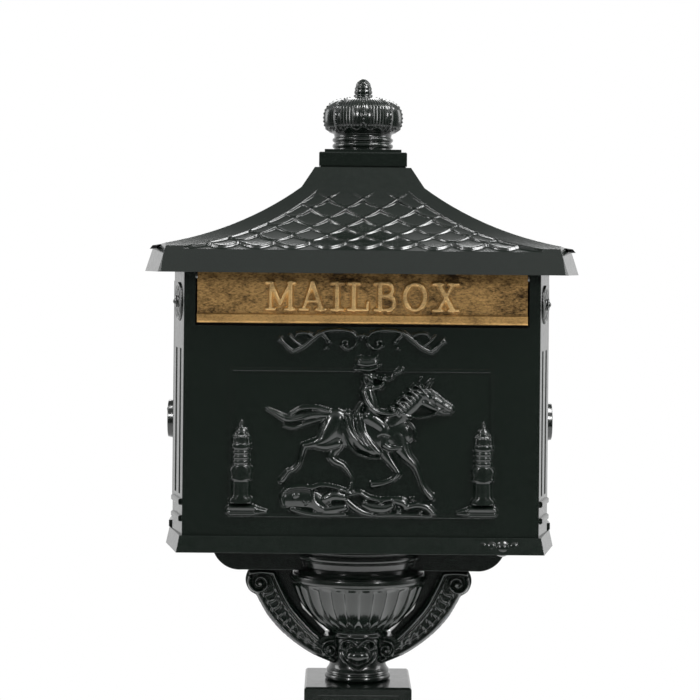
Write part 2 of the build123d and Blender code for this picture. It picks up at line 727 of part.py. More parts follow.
# ================================================================ roof and finial
def swept_profile(top_half, kink_half, eave_half, sweep, drop=0.0):
    """Half of the roof seen square on: flat top, steep neck, then one hollow arc to the eave and beyond."""
    kink_z, eave_z, top_z = ROOF_KINK - drop, EAVE + FASCIA_H - drop, ROOF_TOP - drop
    run, fall = eave_half - kink_half, kink_z - eave_z
    chord = math.hypot(run, fall)
    mean = math.atan2(fall, run)
    turn = math.radians(sweep) / 2
    radius = chord / (2 * math.sin(turn))
    sag = radius * (1 - math.cos(turn))
    middle = (
        (kink_half + eave_half) / 2 - sag * math.sin(mean),
        (kink_z + eave_z) / 2 - sag * math.cos(mean),
    )
    past = 30.0
    beyond = (eave_half + past, eave_z - past * math.tan(mean - turn))
    floor = EAVE - 20
    edges = [
        Line((0, floor), (0, top_z)),
        Line((0, top_z), (top_half, top_z)),
        Line((top_half, top_z), (kink_half, kink_z)),
        ThreePointArc((kink_half, kink_z), middle, (eave_half, eave_z)),
        Line((eave_half, eave_z), beyond),
        Line(beyond, (beyond[0], floor)),
        Line((beyond[0], floor), (0, floor)),
    ]
    return make_face(edges)


def hollow_out(eave_half, sweep, z):
    """How far out from the middle the hollow arc of a slope is at height z."""
    low = EAVE + FASCIA_H
    run, rise = eave_half - KINK_HALF, ROOF_KINK - low
    half_turn = math.radians(sweep) / 2
    start = math.atan2(rise, run) - half_turn
    radius = math.hypot(run, rise) / (2 * math.sin(half_turn))
    slope = math.acos(math.cos(start) - (z - low) / radius)
    return eave_half - radius * (math.sin(slope) - math.sin(start))


def field_outline(eave, sweep, side_eave, side_sweep):
    """Plan of the sunk shingle field on the slope facing -Y, open at the eave."""
    right = []
    for z in FIELD_ZS:
        share = (ROOF_KINK - z) / (ROOF_KINK - EAVE - FASCIA_H)
        margin = FIELD_MARGIN_HIGH + (FIELD_MARGIN_LOW - FIELD_MARGIN_HIGH) * share
        x = hollow_out(side_eave, side_sweep, z) - margin
        right.append((x, -hollow_out(eave, sweep, z)))
    right.insert(0, (right[0][0], right[0][1] - 12))
    left = [(-x, y) for x, y in reversed(right)]
    return make_face(Polyline(*right, *left, close=True))


def shingle_fields():
    side, front = EAVE_SIDE_HALF - FASCIA_SET_BACK, EAVE_HALF_D - FASCIA_SET_BACK
    low, high = EAVE + 12, ROOF_KINK + 2
    one = prism(field_outline(front, FRONT_SWEEP, side, SIDE_SWEEP), low, high)
    other = Rot(0, 0, 90) * prism(field_outline(side, SIDE_SWEEP, front, FRONT_SWEEP), low, high)
    return one + mirror(one, about=Plane.XZ) + other + mirror(other, about=Plane.YZ)


def roof_solid(drop, shrink):
    """Concave hipped roof over a splayed, battered eave."""
    eave_half = EAVE_SIDE_HALF - FASCIA_SET_BACK
    eave_depth = EAVE_HALF_D - FASCIA_SET_BACK
    top, kink = ROOF_TOP_HALF - shrink, KINK_HALF - shrink
    across = Plane.XZ * swept_profile(top, kink, eave_half, SIDE_SWEEP, drop)
    along = Plane.YZ * swept_profile(top, kink, eave_depth, FRONT_SWEEP, drop)
    side = extrude(across, amount=EAVE_SIDE_HALF, both=True)
    side += mirrored(side)
    front = extrude(along, amount=EAVE_SIDE_HALF, both=True)
    front += mirror(front, about=Plane.XZ)
    plan = splayed_plan(EAVE_FRONT_HALF, EAVE_SIDE_HALF, EAVE_HALF_D, EAVE_SPLAY)
    if shrink:
        plan = inset(plan, shrink)
    else:
        rows = plan.vertices().group_by(Axis.Y)
        plan = chamfer(rows[0] + rows[-1], length=EAVE_BEVEL)
    batter = math.degrees(math.atan2(FASCIA_SET_BACK, FASCIA_H))
    return prism(plan, EAVE, ROOF_TOP + 5, taper=batter) & side & front


def roof_shell():
    outside = roof_solid(0.0, 0.0)
    outside -= shingle_fields() - roof_solid(FIELD_DEPTH, 0.0)
    made = outside - roof_solid(ROOF_DROP, ROOF_WALL)
    for x, y in four_ways(SOFFIT_SCREW_SPOTS):
        made += post(6, BODY_TOP + SOFFIT_T, BODY_TOP + 30, x, y) & outside
        made -= post(1.55, BODY_TOP + SOFFIT_T, BODY_TOP + 11, x, y)
    return made - post(STUD_R + 0.3, ROOF_KINK, ROOF_TOP)


def soffit_ring():
    """Flat ring that closes the eave and lies on top of the four walls."""
    outer = splayed_plan(EAVE_FRONT_HALF, EAVE_SIDE_HALF, EAVE_HALF_D, EAVE_SPLAY)
    made = prism(inset(outer, 9.6), BODY_TOP, BODY_TOP + SOFFIT_T)
    made -= prism(inset(body_plan(), 14), BODY_TOP, BODY_TOP + SOFFIT_T)
    for x, y in four_ways(SOFFIT_SCREW_SPOTS + RING_SCREW_SPOTS):
        made -= post(1.7, BODY_TOP, BODY_TOP + SOFFIT_T, x, y)
    return made


def soffit_screws():
    one = Rot(180, 0, 0) * screw(1.5, 9, 3, 2, slot=True)
    return [Pos(x, y, BODY_TOP) * one for x, y in four_ways(SOFFIT_SCREW_SPOTS)]


def ring_screws():
    one = screw(1.5, 12, 2.8, 2)
    return [Pos(x, y, BODY_TOP + SOFFIT_T) * one for x, y in four_ways(RING_SCREW_SPOTS)]


def finial_plinth():
    made = square(85, ROOF_TOP, ROOF_TOP + 1.5)
    slab = square(88, ROOF_TOP + 1.5, PLINTH_TOP - 3)
    made += chamfer(slab.edges().group_by(Axis.Z)[-1], 1.0)
    made += square(77, PLINTH_TOP - 3, PLINTH_TOP)
    made -= square(70, ROOF_TOP, PLINTH_TOP - 6)
    made += turned_ring(9, STUD_R + 0.3, ROOF_TOP, PLINTH_TOP - 5)
    return made - post(STUD_R + 0.3, ROOF_TOP, PLINTH_TOP)


def crown_finial():
    """Ringed neck, flattened bulb and an acorn knob, with a blind hole for the stud."""
    made = turned([
        (0, PLINTH_TOP),
        (29, PLINTH_TOP),
        (29, 1098),
        ("arc", 31, 1101),
        (29, 1104),
        ("arc", 31, 1107),
        (29, 1110),
        (29, 1113),
        (35, 1115),
        ("arc", 41, 1127),
        (38, 1139),
        ("arc", 32, 1147),
        (20, 1149.5),
        (9.6, 1150.5),
        (9.6, 1153),
        (8.6, 1154),
        ("arc", 9.3, 1156),
        (8.4, 1158),
        ("arc", 8.8, 1160),
        (7.8, 1161.5),
        ("arc", 6.2, 1167),
        (3, HEIGHT - 0.8),
        (0, HEIGHT),
    ])
    return made - post(STUD_R + FIT, PLINTH_TOP, PLINTH_TOP + 22)


def finial_stud():
    return post(STUD_R, ROOF_TOP - 22, PLINTH_TOP + 20)


def finial_washer():
    return Pos(0, 0, ROOF_TOP - ROOF_DROP - WASHER_T) * washer(11, STUD_R + 0.3, WASHER_T)


def finial_nut():
    return Pos(0, 0, ROOF_TOP - ROOF_DROP - WASHER_T - 6.5) * hex_nut(7.5, 6.5, STUD_R + FIT)


# ================================================================ the list of pieces
PIECES = {
    "base_casting": base_casting,
    "column_shaft": column_shaft,
    "column_cap": column_cap,
    "capital_bowl": capital_bowl,
    "bowl_lid": bowl_lid,
    "console_left": console_left,
    "console_right": lambda: mirrored(console_left()),
    "console_screws": console_screws,
    "shell_bosses": shell_bosses,
    "cradle_plate": cradle_plate,
    "cradle_bolts": cradle_bolts,
    "cradle_washers": cradle_washers,
    "tie_rod": tie_rod,
    "tie_rod_nuts": tie_rod_nuts,
    "tie_rod_washers": tie_rod_washers,
    "floor_casting": floor_casting,
    "floor_screws": floor_screws,
    "front_panel": front_panel,
    "front_panel_screws": front_panel_screws,
    "right_side_panel": right_side_panel,
    "left_side_panel": lambda: mirrored(right_side_panel()),
    "rear_frame": rear_frame,
    "rear_frame_screws": rear_frame_screws,
    "door_hinge_pins": door_hinge_pins,
    "mail_chute": mail_chute,
    "chute_screws": chute_screws,
    "flap_rod": flap_rod,
    "soffit_ring": soffit_ring,
    "soffit_screws": soffit_screws,
    "ring_screws": ring_screws,
    "roof_shell": roof_shell,
    "finial_plinth": finial_plinth,
    "crown_finial": crown_finial,
    "finial_stud": finial_stud,
    "finial_washer": finial_washer,
    "finial_nut": finial_nut,
    "letter_flap": letter_flap,
    "rear_door": rear_door,
    "lock_barrel": lock_barrel,
    "lock_nut": lock_nut,
    "lock_plug": lock_plug,
    "lock_cam": lock_cam,
    "cam_screw": cam_screw,
}


def main():
    os.makedirs("parts", exist_ok=True)
    for name, make in PIECES.items():
        shape = make()
        if isinstance(shape, list):
            shape = Compound(children=shape)
        export_step(shape, f"parts/{name}.step")


main()
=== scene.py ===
"""Looks of the pedestal letter box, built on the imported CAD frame. Metres, front towards -Y, up is +Z."""

import json
import math

import bmesh
import bpy
import numpy as np
from mathutils import Matrix, Vector


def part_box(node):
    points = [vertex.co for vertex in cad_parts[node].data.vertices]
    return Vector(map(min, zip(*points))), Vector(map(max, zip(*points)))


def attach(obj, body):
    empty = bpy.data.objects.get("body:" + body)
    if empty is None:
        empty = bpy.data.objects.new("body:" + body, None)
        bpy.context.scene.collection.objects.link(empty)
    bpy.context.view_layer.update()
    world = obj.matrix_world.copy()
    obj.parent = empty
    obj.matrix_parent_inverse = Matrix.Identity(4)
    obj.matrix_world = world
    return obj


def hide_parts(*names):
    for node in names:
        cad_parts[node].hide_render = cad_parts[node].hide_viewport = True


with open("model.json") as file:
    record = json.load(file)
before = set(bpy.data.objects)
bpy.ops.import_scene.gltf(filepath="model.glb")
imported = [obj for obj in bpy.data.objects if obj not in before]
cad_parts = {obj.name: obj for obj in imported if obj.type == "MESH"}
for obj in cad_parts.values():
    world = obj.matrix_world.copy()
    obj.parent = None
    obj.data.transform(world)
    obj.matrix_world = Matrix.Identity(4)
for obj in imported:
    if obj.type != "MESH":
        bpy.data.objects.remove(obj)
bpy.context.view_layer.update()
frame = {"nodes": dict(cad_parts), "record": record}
MM = 0.001

# ---------------------------------------------------------------- camera
EYE_HEIGHT = 0.983
EYE_DISTANCE = 2.069
EAVE_FRONT_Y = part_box("roof_shell")[0].y
YAW = math.radians(-0.7)
ROLL = math.radians(0.57)
LENS, SENSOR = 112.1, 36.0
SHIFT_X, SHIFT_Y = -0.0192, -0.1257


def make_camera():
    data = bpy.data.cameras.new("main_camera")
    data.sensor_width = SENSOR
    data.lens = LENS
    data.shift_x = SHIFT_X
    data.shift_y = SHIFT_Y
    data.clip_start = 0.05
    data.clip_end = 400.0
    cam = bpy.data.objects.new("main_camera", data)
    bpy.context.scene.collection.objects.link(cam)
    aim = Vector((0.0, EAVE_FRONT_Y, EYE_HEIGHT))
    back = Matrix.Rotation(YAW, 3, "Z") @ Vector((0.0, -EYE_DISTANCE, 0.0))
    cam.location = aim + back
    turn = Matrix.Rotation(YAW, 3, "Z") @ Matrix.Rotation(math.radians(90), 3, "X")
    turn = turn @ Matrix.Rotation(ROLL, 3, "Z")
    cam.rotation_euler = turn.to_euler()
    bpy.context.scene.camera = cam


# ---------------------------------------------------------------- light and floor
def node(tree, kind, **settings):
    made = tree.nodes.new(kind)
    for name, value in settings.items():
        if name in made.inputs.keys():
            made.inputs[name].default_value = value
        else:
            setattr(made, name, value)
    return made


def smooth_range(tree, source, low, high, out_low, out_high):
    made = node(tree, "ShaderNodeMapRange", interpolation_type="SMOOTHSTEP")
    made.inputs["From Min"].default_value = low
    made.inputs["From Max"].default_value = high
    made.inputs["To Min"].default_value = out_low
    made.inputs["To Max"].default_value = out_high
    tree.links.new(source, made.inputs["Value"])
    return made.outputs["Result"]


def combine(tree, operation, a, b):
    made = node(tree, "ShaderNodeMath", operation=operation)
    tree.links.new(a, made.inputs[0])
    tree.links.new(b, made.inputs[1])
    return made.outputs[0]


# Brightness of the room in front, at the walls and at the ceiling, and the share of it left higher up.
FRONT_BRIGHT, WALL_BRIGHT, CEILING_BRIGHT = 0.07, 0.86, 0.62
WALL_LEFT_ABOVE, CEILING_LEFT_OVERHEAD = 0.2, 0.5


def make_world():
    """Pale walls beside and behind, a softer ceiling, a dark room in front, and plain white to the camera."""
    world = bpy.data.worlds.new("studio")
    bpy.context.scene.world = world
    world.use_nodes = True
    tree = world.node_tree
    tree.nodes.clear()
    place = node(tree, "ShaderNodeTexCoord")
    split = node(tree, "ShaderNodeSeparateXYZ")
    tree.links.new(place.outputs["Generated"], split.inputs[0])
    height = split.outputs["Z"]
    low = smooth_range(tree, height, 0.3, 0.55, 1.0, WALL_LEFT_ABOVE)
    beside = smooth_range(tree, split.outputs["Y"], -0.4, 0.3, FRONT_BRIGHT, WALL_BRIGHT)
    walls = combine(tree, "MULTIPLY", beside, low)
    rising = smooth_range(tree, height, 0.25, 0.6, 0.0, CEILING_BRIGHT)
    overhead = smooth_range(tree, height, 0.66, 0.9, 1.0, CEILING_LEFT_OVERHEAD)
    above = combine(tree, "MULTIPLY", rising, overhead)
    room = node(tree, "ShaderNodeBackground", Color=(1, 1, 1, 1))
    tree.links.new(combine(tree, "MAXIMUM", walls, above), room.inputs["Strength"])
    plain = node(tree, "ShaderNodeBackground", Color=(1, 1, 1, 1), Strength=1.0)
    path = node(tree, "ShaderNodeLightPath")
    mix = node(tree, "ShaderNodeMixShader")
    tree.links.new(path.outputs["Is Camera Ray"], mix.inputs[0])
    tree.links.new(room.outputs[0], mix.inputs[1])
    tree.links.new(plain.outputs[0], mix.inputs[2])
    out = node(tree, "ShaderNodeOutputWorld")
    tree.links.new(mix.outputs[0], out.inputs[0])


# Name, place, aim, width, height and power of each soft light.
BOX_MIDDLE, POST_MIDDLE = (0.0, 0.0, 1.0), (0.0, 0.0, 0.85)
LIGHTS = (
    ("key_right", (1.75, -1.1, 3.4), BOX_MIDDLE, 1.3, 1.1, 95),
    ("key_left", (-1.75, -1.1, 3.4), BOX_MIDDLE, 0.5, 0.5, 24),
    ("low_right", (1.9, -3.0, 1.9), POST_MIDDLE, 0.4, 0.7, 40),
    ("low_left", (-1.9, -3.0, 1.7), POST_MIDDLE, 0.3, 0.6, 24),
    ("side_right", (2.4, 0.2, 1.6), POST_MIDDLE, 0.8, 1.6, 20),
    ("side_left", (-2.4, 0.2, 1.6), POST_MIDDLE, 0.8, 1.6, 20),
    ("back_high", (0.0, 2.4, 2.4), POST_MIDDLE, 2.4, 0.8, 30),
)


def make_lights():
    for name, place, aim, width, height, power in LIGHTS:
        data = bpy.data.lights.new(name, "AREA")
        data.shape = "RECTANGLE"
        data.size = width
        data.size_y = height
        data.energy = power
        light = bpy.data.objects.new(name, data)
        bpy.context.scene.collection.objects.link(light)
        light.location = place
        way = Vector(aim) - Vector(place)
        light.rotation_euler = way.to_track_quat("-Z", "Y").to_euler()


make_camera()
make_world()
make_lights()
bpy.context.scene.view_settings.view_transform = "Standard"


# ---------------------------------------------------------------- materials
def principled(name, colour, roughness, metallic=0.0, coat=0.0, coat_roughness=0.05):
    made = bpy.data.materials.new(name)
    made.use_nodes = True
    shader = made.node_tree.nodes["Principled BSDF"]
    shader.inputs["Base Color"].default_value = (*colour, 1.0)
    shader.inputs["Roughness"].default_value = roughness
    shader.inputs["Metallic"].default_value = metallic
    shader.inputs["Coat Weight"].default_value = coat
    shader.inputs["Coat Roughness"].default_value = coat_roughness
    return made, made.node_tree, shader


def coordinates(tree, stretch=(1.0, 1.0, 1.0)):
    place = node(tree, "ShaderNodeTexCoord")
    mapping = node(tree, "ShaderNodeMapping", Scale=stretch)
    tree.links.new(place.outputs["Object"], mapping.inputs["Vector"])
    return mapping.outputs["Vector"]


def noise(tree, place, scale, detail=3.0, rough=0.5):
    made = node(tree, "ShaderNodeTexNoise", Scale=scale, Detail=detail, Roughness=rough)
    tree.links.new(place, made.inputs["Vector"])
    return made.outputs["Fac"]


def ramp(tree, source, *stops):
    made = node(tree, "ShaderNodeValToRGB")
    band = made.color_ramp
    while len(band.elements) < len(stops):
        band.elements.new(0.5)
    for element, (place, colour) in zip(band.elements, stops):
        element.position = place
        element.color = (*colour, 1.0)
    tree.links.new(source, made.inputs["Fac"])
    return made.outputs["Color"]


def bump(tree, height, strength, distance, normal=None):
    made = node(tree, "ShaderNodeBump", Strength=strength, Distance=distance)
    tree.links.new(height, made.inputs["Height"])
    if normal is not None:
        tree.links.new(normal, made.inputs["Normal"])
    return made.outputs["Normal"]


def soft_edges(tree, radius):
    return node(tree, "ShaderNodeBevel", samples=4, Radius=radius).outputs["Normal"]


def paint(name, edge):
    """Gloss enamel on cast metal: faint flow in the surface, fine casting grain under the paint."""
    made, tree, shader = principled(name, (0.0040, 0.0074, 0.0052), 0.24, coat=0.35, coat_roughness=0.08)
    place = coordinates(tree)
    tone = noise(tree, place, 14.0, 5.0)
    colour = ramp(tree, tone, (0.3, (0.0036, 0.0068, 0.0048)), (0.7, (0.0045, 0.0081, 0.0057)))
    tree.links.new(colour, shader.inputs["Base Color"])
    uneven = smooth_range(tree, noise(tree, place, 160.0, 4.0), 0.3, 0.7, 0.20, 0.25)
    tree.links.new(uneven, shader.inputs["Roughness"])
    normal = soft_edges(tree, edge) if edge else None
    cast = bump(tree, noise(tree, place, 70.0, 2.0), 0.03, 0.001, normal)
    fine = bump(tree, noise(tree, place, 900.0, 2.0), 0.06, 0.0003, cast)
    tree.links.new(fine, shader.inputs["Normal"])
    tree.links.new(cast, shader.inputs["Coat Normal"])
    return made


# Flap heights in metres below which the bronze is painted lighter, and by how much: a painted highlight on
# the lip, which faces up into the light.
LIP_HIGHLIGHT_HEIGHTS = (0.932, 0.9335)
LIP_PAINTED_HIGHLIGHT = 0.09


def bronze(name, dark, light, low, high, edge, highlight_heights=None):
    """Gold-bronze metal with dark patina left in a fine grain. Below the given heights it is painted lighter,
    a painted highlight on the lip, which faces up into the light.
    """
    made, tree, shader = principled(name, light, 0.4, metallic=0.85)
    grain = noise(tree, coordinates(tree, (0.45, 1.0, 1.0)), 620.0, 4.0, 0.7)
    cloud = noise(tree, coordinates(tree, (0.6, 1.0, 1.0)), 60.0, 5.0, 0.6)
    both = combine(tree, "MULTIPLY", grain, cloud)
    if highlight_heights:
        # Painted highlight: lighter bronze below the given heights, for the upward-facing lip.
        split = node(tree, "ShaderNodeSeparateXYZ")
        tree.links.new(coordinates(tree), split.inputs[0])
        painted_highlight = smooth_range(tree, split.outputs["Z"], *highlight_heights, LIP_PAINTED_HIGHLIGHT, 0.0)
        both = combine(tree, "ADD", both, painted_highlight)
    middle = tuple(0.45 * a + 0.55 * b for a, b in zip(dark, light))
    colour = ramp(tree, both, (low, dark), ((low + high) / 2, middle), (high, light))
    tree.links.new(colour, shader.inputs["Base Color"])
    rough = smooth_range(tree, both, low, high, 0.62, 0.42)
    tree.links.new(rough, shader.inputs["Roughness"])
    normal = bump(tree, grain, 0.35, 0.0004, soft_edges(tree, edge) if edge else None)
    tree.links.new(normal, shader.inputs["Normal"])
    return made


def bare_metal(name, colour, roughness, grain, stretch=(1.0, 1.0, 1.0)):
    made, tree, shader = principled(name, colour, roughness, metallic=1.0)
    lines = noise(tree, coordinates(tree, stretch), grain, 4.0)
    shade = ramp(tree, lines, (0.3, tuple(0.75 * c for c in colour)), (0.7, colour))
    tree.links.new(shade, shader.inputs["Base Color"])
    uneven = smooth_range(tree, lines, 0.3, 0.7, roughness * 0.8, roughness * 1.25)
    tree.links.new(uneven, shader.inputs["Roughness"])
    tree.links.new(bump(tree, lines, 0.2, 0.0002), shader.inputs["Normal"])
    return made


def floor_material():
    made, tree, shader = principled("pale_floor", (0.92, 0.92, 0.92), 0.75)
    tone = noise(tree, coordinates(tree), 1.5, 3.0)
    colour = ramp(tree, tone, (0.3, (0.91, 0.91, 0.91)), (0.7, (0.93, 0.93, 0.93)))
    tree.links.new(colour, shader.inputs["Base Color"])
    shader.inputs["Specular IOR Level"].default_value = 0.0
    shader.inputs["Emission Color"].default_value = (1.0, 1.0, 1.0, 1.0)
    shader.inputs["Emission Strength"].default_value = 0.12
    return made


GREEN = paint("green_gloss_paint", 0.0009)
GREEN_FINE = paint("green_gloss_paint_fine", 0.0)
BRONZE = bronze(
    "antique_bronze", (0.030, 0.017, 0.007), (0.56, 0.34, 0.125), 0.15, 0.40, 0.0006,
    highlight_heights=LIP_HIGHLIGHT_HEIGHTS,
)
BRONZE_LIGHT = bronze("antique_bronze_raised", (0.14, 0.085, 0.035), (0.66, 0.44, 0.19), 0.10, 0.28, 0.0)
ZINC = bare_metal("zinc_plated_steel", (0.62, 0.63, 0.64), 0.32, 220.0)
SHEET = bare_metal("sheet_aluminium", (0.70, 0.71, 0.72), 0.36, 260.0, (1.0, 1.0, 0.08))
CHROME = bare_metal("lock_chrome", (0.80, 0.81, 0.82), 0.14, 300.0)
BY_SLOT = {
    "green_paint": GREEN,
    "antique_bronze": BRONZE,
    "zinc_steel": ZINC,
    "sheet_aluminium": SHEET,
    "lock_chrome": CHROME,
}


def dress_cad():
    slots = {}
    for part in frame["record"]["subparts"]:
        slots[part["node"]] = part.get("material_slot") or part.get("slot") or part.get("material")
    for name, obj in frame["nodes"].items():
        obj.data.materials.clear()
        obj.data.materials.append(BY_SLOT[slots[name]])


dress_cad()


# ---------------------------------------------------------------- mesh helpers
def add_piece(
    name, verts, faces, material=GREEN_FINE, body="housing", slot="green_paint", stands_for=(), crease=60.0
):
    data = bpy.data.meshes.new(name)
    data.from_pydata(np.asarray(verts, float).tolist(), [], faces)
    work = bmesh.new()
    work.from_mesh(data)
    bmesh.ops.remove_doubles(work, verts=work.verts, dist=1e-6)
    work.to_mesh(data)
    work.free()
    data.shade_smooth()
    data.set_sharp_from_angle(angle=math.radians(crease))
    data.materials.append(material)
    piece = bpy.data.objects.new(name, data)
    bpy.context.scene.collection.objects.link(piece)
    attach(piece, body)
    if stands_for:
        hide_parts(*stands_for)
    return piece


def merge(parts):
    verts, faces = [], []
    for points, loops in parts:
        base = len(verts)
        verts.extend(np.asarray(points, float).tolist())
        faces.extend([tuple(i + base for i in loop) for loop in loops])
    return verts, faces


def flow(points, steps=8):
    """A smooth curve through rows of numbers (Catmull-Rom), all columns together."""
    rows = np.asarray(points, float)
    if len(rows) < 3:
        return rows
    ends = np.vstack([2 * rows[0] - rows[1], rows, 2 * rows[-1] - rows[-2]])
    out = []
    for a, b, c, d in zip(ends, ends[1:], ends[2:], ends[3:]):
        for t in np.arange(steps) / steps:
            out.append(
                0.5
                * (2 * b + (c - a) * t + (2 * a - 5 * b + 4 * c - d) * t**2 + (3 * b - a - 3 * c + d) * t**3)
            )
    out.append(rows[-1])
    return np.array(out)


def plane_place(origin, normal, up=(0, 0, 1)):
    """Maps (a, b, h) in millimetres to metres: a to the right as seen from outside, b up, h outwards."""
    n = np.array(normal, float) / np.linalg.norm(normal)
    v = np.array(up, float)
    u = np.cross(v, n)
    o = np.array(origin, float)

    def place(a, b, h):
        return (o + np.multiply.outer(a, u) + np.multiply.outer(b, v) + np.multiply.outer(h, n)) * MM

    return place


def drum_place(radius, centre_z, facing):
    """The same for the outside of an upright drum of that radius, facing is the angle of its middle."""

    def place(a, b, h):
        angle = facing + np.asarray(a) / radius
        r = radius + np.asarray(h)
        return np.stack([r * np.cos(angle), r * np.sin(angle), centre_z + np.asarray(b)], -1) * MM

    return place


class Relief:
    """Low relief as heights over a flat field, built up from rounded strokes like a modeller's clay rolls."""

    def __init__(self, a0, a1, b0, b1, step):
        self.a = np.arange(a0, a1 + step / 2, step)
        self.b = np.arange(b0, b1 + step / 2, step)
        self.A, self.B = np.meshgrid(self.a, self.b, indexing="ij")
        self.h = np.zeros_like(self.A)
        self.step = step

    def window(self, p, q, reach):
        i = np.searchsorted(self.a, [min(p[0], q[0]) - reach, max(p[0], q[0]) + reach])
        j = np.searchsorted(self.b, [min(p[1], q[1]) - reach, max(p[1], q[1]) + reach])
        return slice(max(i[0] - 1, 0), i[1] + 1), slice(max(j[0] - 1, 0), j[1] + 1)

    def along(self, points):
        for p, q in zip(points, points[1:]):
            cut = self.window(p, q, max(p[2], q[2]))
            A, B = self.A[cut], self.B[cut]
            d = q[:2] - p[:2]
            length = max(d @ d, 1e-9)
            t = np.clip(((A - p[0]) * d[0] + (B - p[1]) * d[1]) / length, 0, 1)
            away = np.hypot(A - p[0] - t * d[0], B - p[1] - t * d[1])
            yield cut, away / (p[2] + t * (q[2] - p[2])), p[3] + t * (q[3] - p[3])

    def roll(self, *points, round_=0.6, smooth=True):
        """A rounded roll through (a, b, radius, height) points."""
        rows = flow(points, 6) if smooth else np.asarray(points, float)
        for cut, share, height in self.along(rows):
            self.h[cut] = np.maximum(self.h[cut], height * np.clip(1 - share**2, 0, 1) ** round_)
        return self

    def bar(self, *points, bevel=0.35, smooth=False):
        """A flat-topped bar with bevelled sides."""
        rows = flow(points, 6) if smooth else np.asarray(points, float)
        for cut, share, height in self.along(rows):
            self.h[cut] = np.maximum(self.h[cut], height * np.clip((1 - share) / bevel, 0, 1))
        return self

    def groove(self, *points, smooth=True):
        """A cut into what is already there; height is how deep."""
        rows = flow(points, 6) if smooth else np.asarray(points, float)
        cut_depth = np.zeros_like(self.h)
        for cut, share, depth in self.along(rows):
            cut_depth[cut] = np.maximum(cut_depth[cut], depth * np.clip(1 - share**2, 0, 1))
        self.h = np.where(self.h > 0.3, np.maximum(self.h - cut_depth, 0.35), self.h)
        return self

    def turned(self, centre, outline, height):
        """Half-round turned work standing upright: outline is (b, half width) from the bottom up."""
        b, w = np.array(outline, float).T
        width = np.interp(self.B, b, w, left=0, right=0)
        share = np.abs(self.A - centre) / np.maximum(width, 1e-6)
        round_top = height * np.clip(1 - share**2, 0, 1) ** 0.5 * np.minimum(width / 7, 1.25)
        self.h = np.maximum(self.h, np.where(width > 0, round_top, 0))
        return self

    def soften(self, times=1):
        for _ in range(times):
            for axis in (0, 1):
                before = np.roll(self.h, 1, axis)
                after = np.roll(self.h, -1, axis)
                self.h = 0.25 * before + 0.5 * self.h + 0.25 * after
        return self

    def parts(self, place, keep=0.06, sink=0.4):
        heights = np.where(self.h > keep, self.h, -sink)
        points = place(self.A, self.B, heights).reshape(-1, 3)
        n, m = self.A.shape
        index = np.arange(n * m).reshape(n, m)
        raised = heights > 0
        wanted = raised[:-1, :-1] | raised[1:, :-1] | raised[1:, 1:] | raised[:-1, 1:]
        quads = np.stack([index[:-1, :-1], index[1:, :-1], index[1:, 1:], index[:-1, 1:]], -1)[wanted]
        used, again = np.unique(quads.reshape(-1), return_inverse=True)
        return points[used], [tuple(q) for q in again.reshape(-1, 4).tolist()]


def turned_parts(outline, around, shape):
    """Turned work about the Z axis: outline is (radius, z) in mm, shape may change the radius by angle."""
    rows = np.asarray(outline, float)
    angle = np.arange(around) * math.tau / around
    r, turn = np.meshgrid(rows[:, 0], angle, indexing="ij")
    z = np.repeat(rows[:, 1:2], around, 1)
    r, z = shape(turn, r, z)
    points = np.stack([r * np.cos(turn), r * np.sin(turn), z], -1).reshape(-1, 3) * MM
    index = np.arange(len(rows) * around).reshape(len(rows), around)
    nxt = np.roll(index, -1, 1)
    quads = np.stack([index[:-1], nxt[:-1], nxt[1:], index[1:]], -1).reshape(-1, 4)
    return points, [tuple(q) for q in quads.tolist()]


def fine_line(points, step=0.8):
    """The same line with more points on it."""
    out = []
    rows = np.asarray(points, float)
    for p, q in zip(rows, rows[1:]):
        n = max(1, int(math.ceil(np.linalg.norm(q[:2] - p[:2]) / step)))
        out.extend(p + (q - p) * t / n for t in range(n))
    out.append(rows[-1])
    return np.array(out)


def ball_parts(centre, radii, along=10, around=14):
    """A small bead, flattened as wanted; centre and radii in mm."""
    a, b = np.meshgrid(np.linspace(0, math.pi, along), np.arange(around) * math.tau / around, indexing="ij")
    points = np.stack(
        [radii[0] * np.sin(a) * np.cos(b), radii[1] * np.sin(a) * np.sin(b), radii[2] * np.cos(a)], -1,
    )
    points = (points + np.asarray(centre, float)).reshape(-1, 3) * MM
    index = np.arange(along * around).reshape(along, around)
    nxt = np.roll(index, -1, 1)
    quads = np.stack([index[:-1], index[1:], nxt[1:], nxt[:-1]], -1).reshape(-1, 4)
    return points, [tuple(q) for q in quads.tolist()]


# ---------------------------------------------------------------- roof shingles
ROOF_LOW, ROOF_HIGH = 997.0, 1057.0
SIDE_EAVE, FRONT_EAVE, KINK = 207.0, 147.0, 61.0
SIDE_TURN, FRONT_TURN = 30.0, 30.0
SCALE_WIDE, SCALE_DEEP, ROW_PITCH, SCALE_THICK = 34.0, 11.0, 15.0, 2.3
FIELD_TOP, FIELD_DEPTH = 1054.0, 2.7
BEVEL_WIDE, FADE, PAST, EAVE_DIP = 5.0, 17.0, 1.0, 3.2
MARGIN_TOP, MARGIN_GROWS = 19.0, 17.0
LIP_PROUD, LIP_AT, LIP_WIDE, SLATE_FALL, SLATE_RISE = 0.7, 2.4, 1.5, 0.045, 2.6
GAP_DEPTH, BELOW_SKIN = 0.4, 0.12


def hollow_line(eave, turn, count=400):
    """The hollow arc from the eave up to the kink: distance along it, run outwards, height and slope."""
    run, rise = eave - KINK, ROOF_HIGH - ROOF_LOW
    chord = math.hypot(run, rise)
    half = math.radians(turn) / 2
    radius = chord / (2 * math.sin(half))
    mean = math.atan2(rise, run)
    slope = np.linspace(mean - half, mean + half, count)
    out = eave - radius * (np.sin(slope) - math.sin(mean - half))
    up = ROOF_LOW + radius * (math.cos(mean - half) - np.cos(slope))
    return radius * (slope - slope[0]), out, up, slope


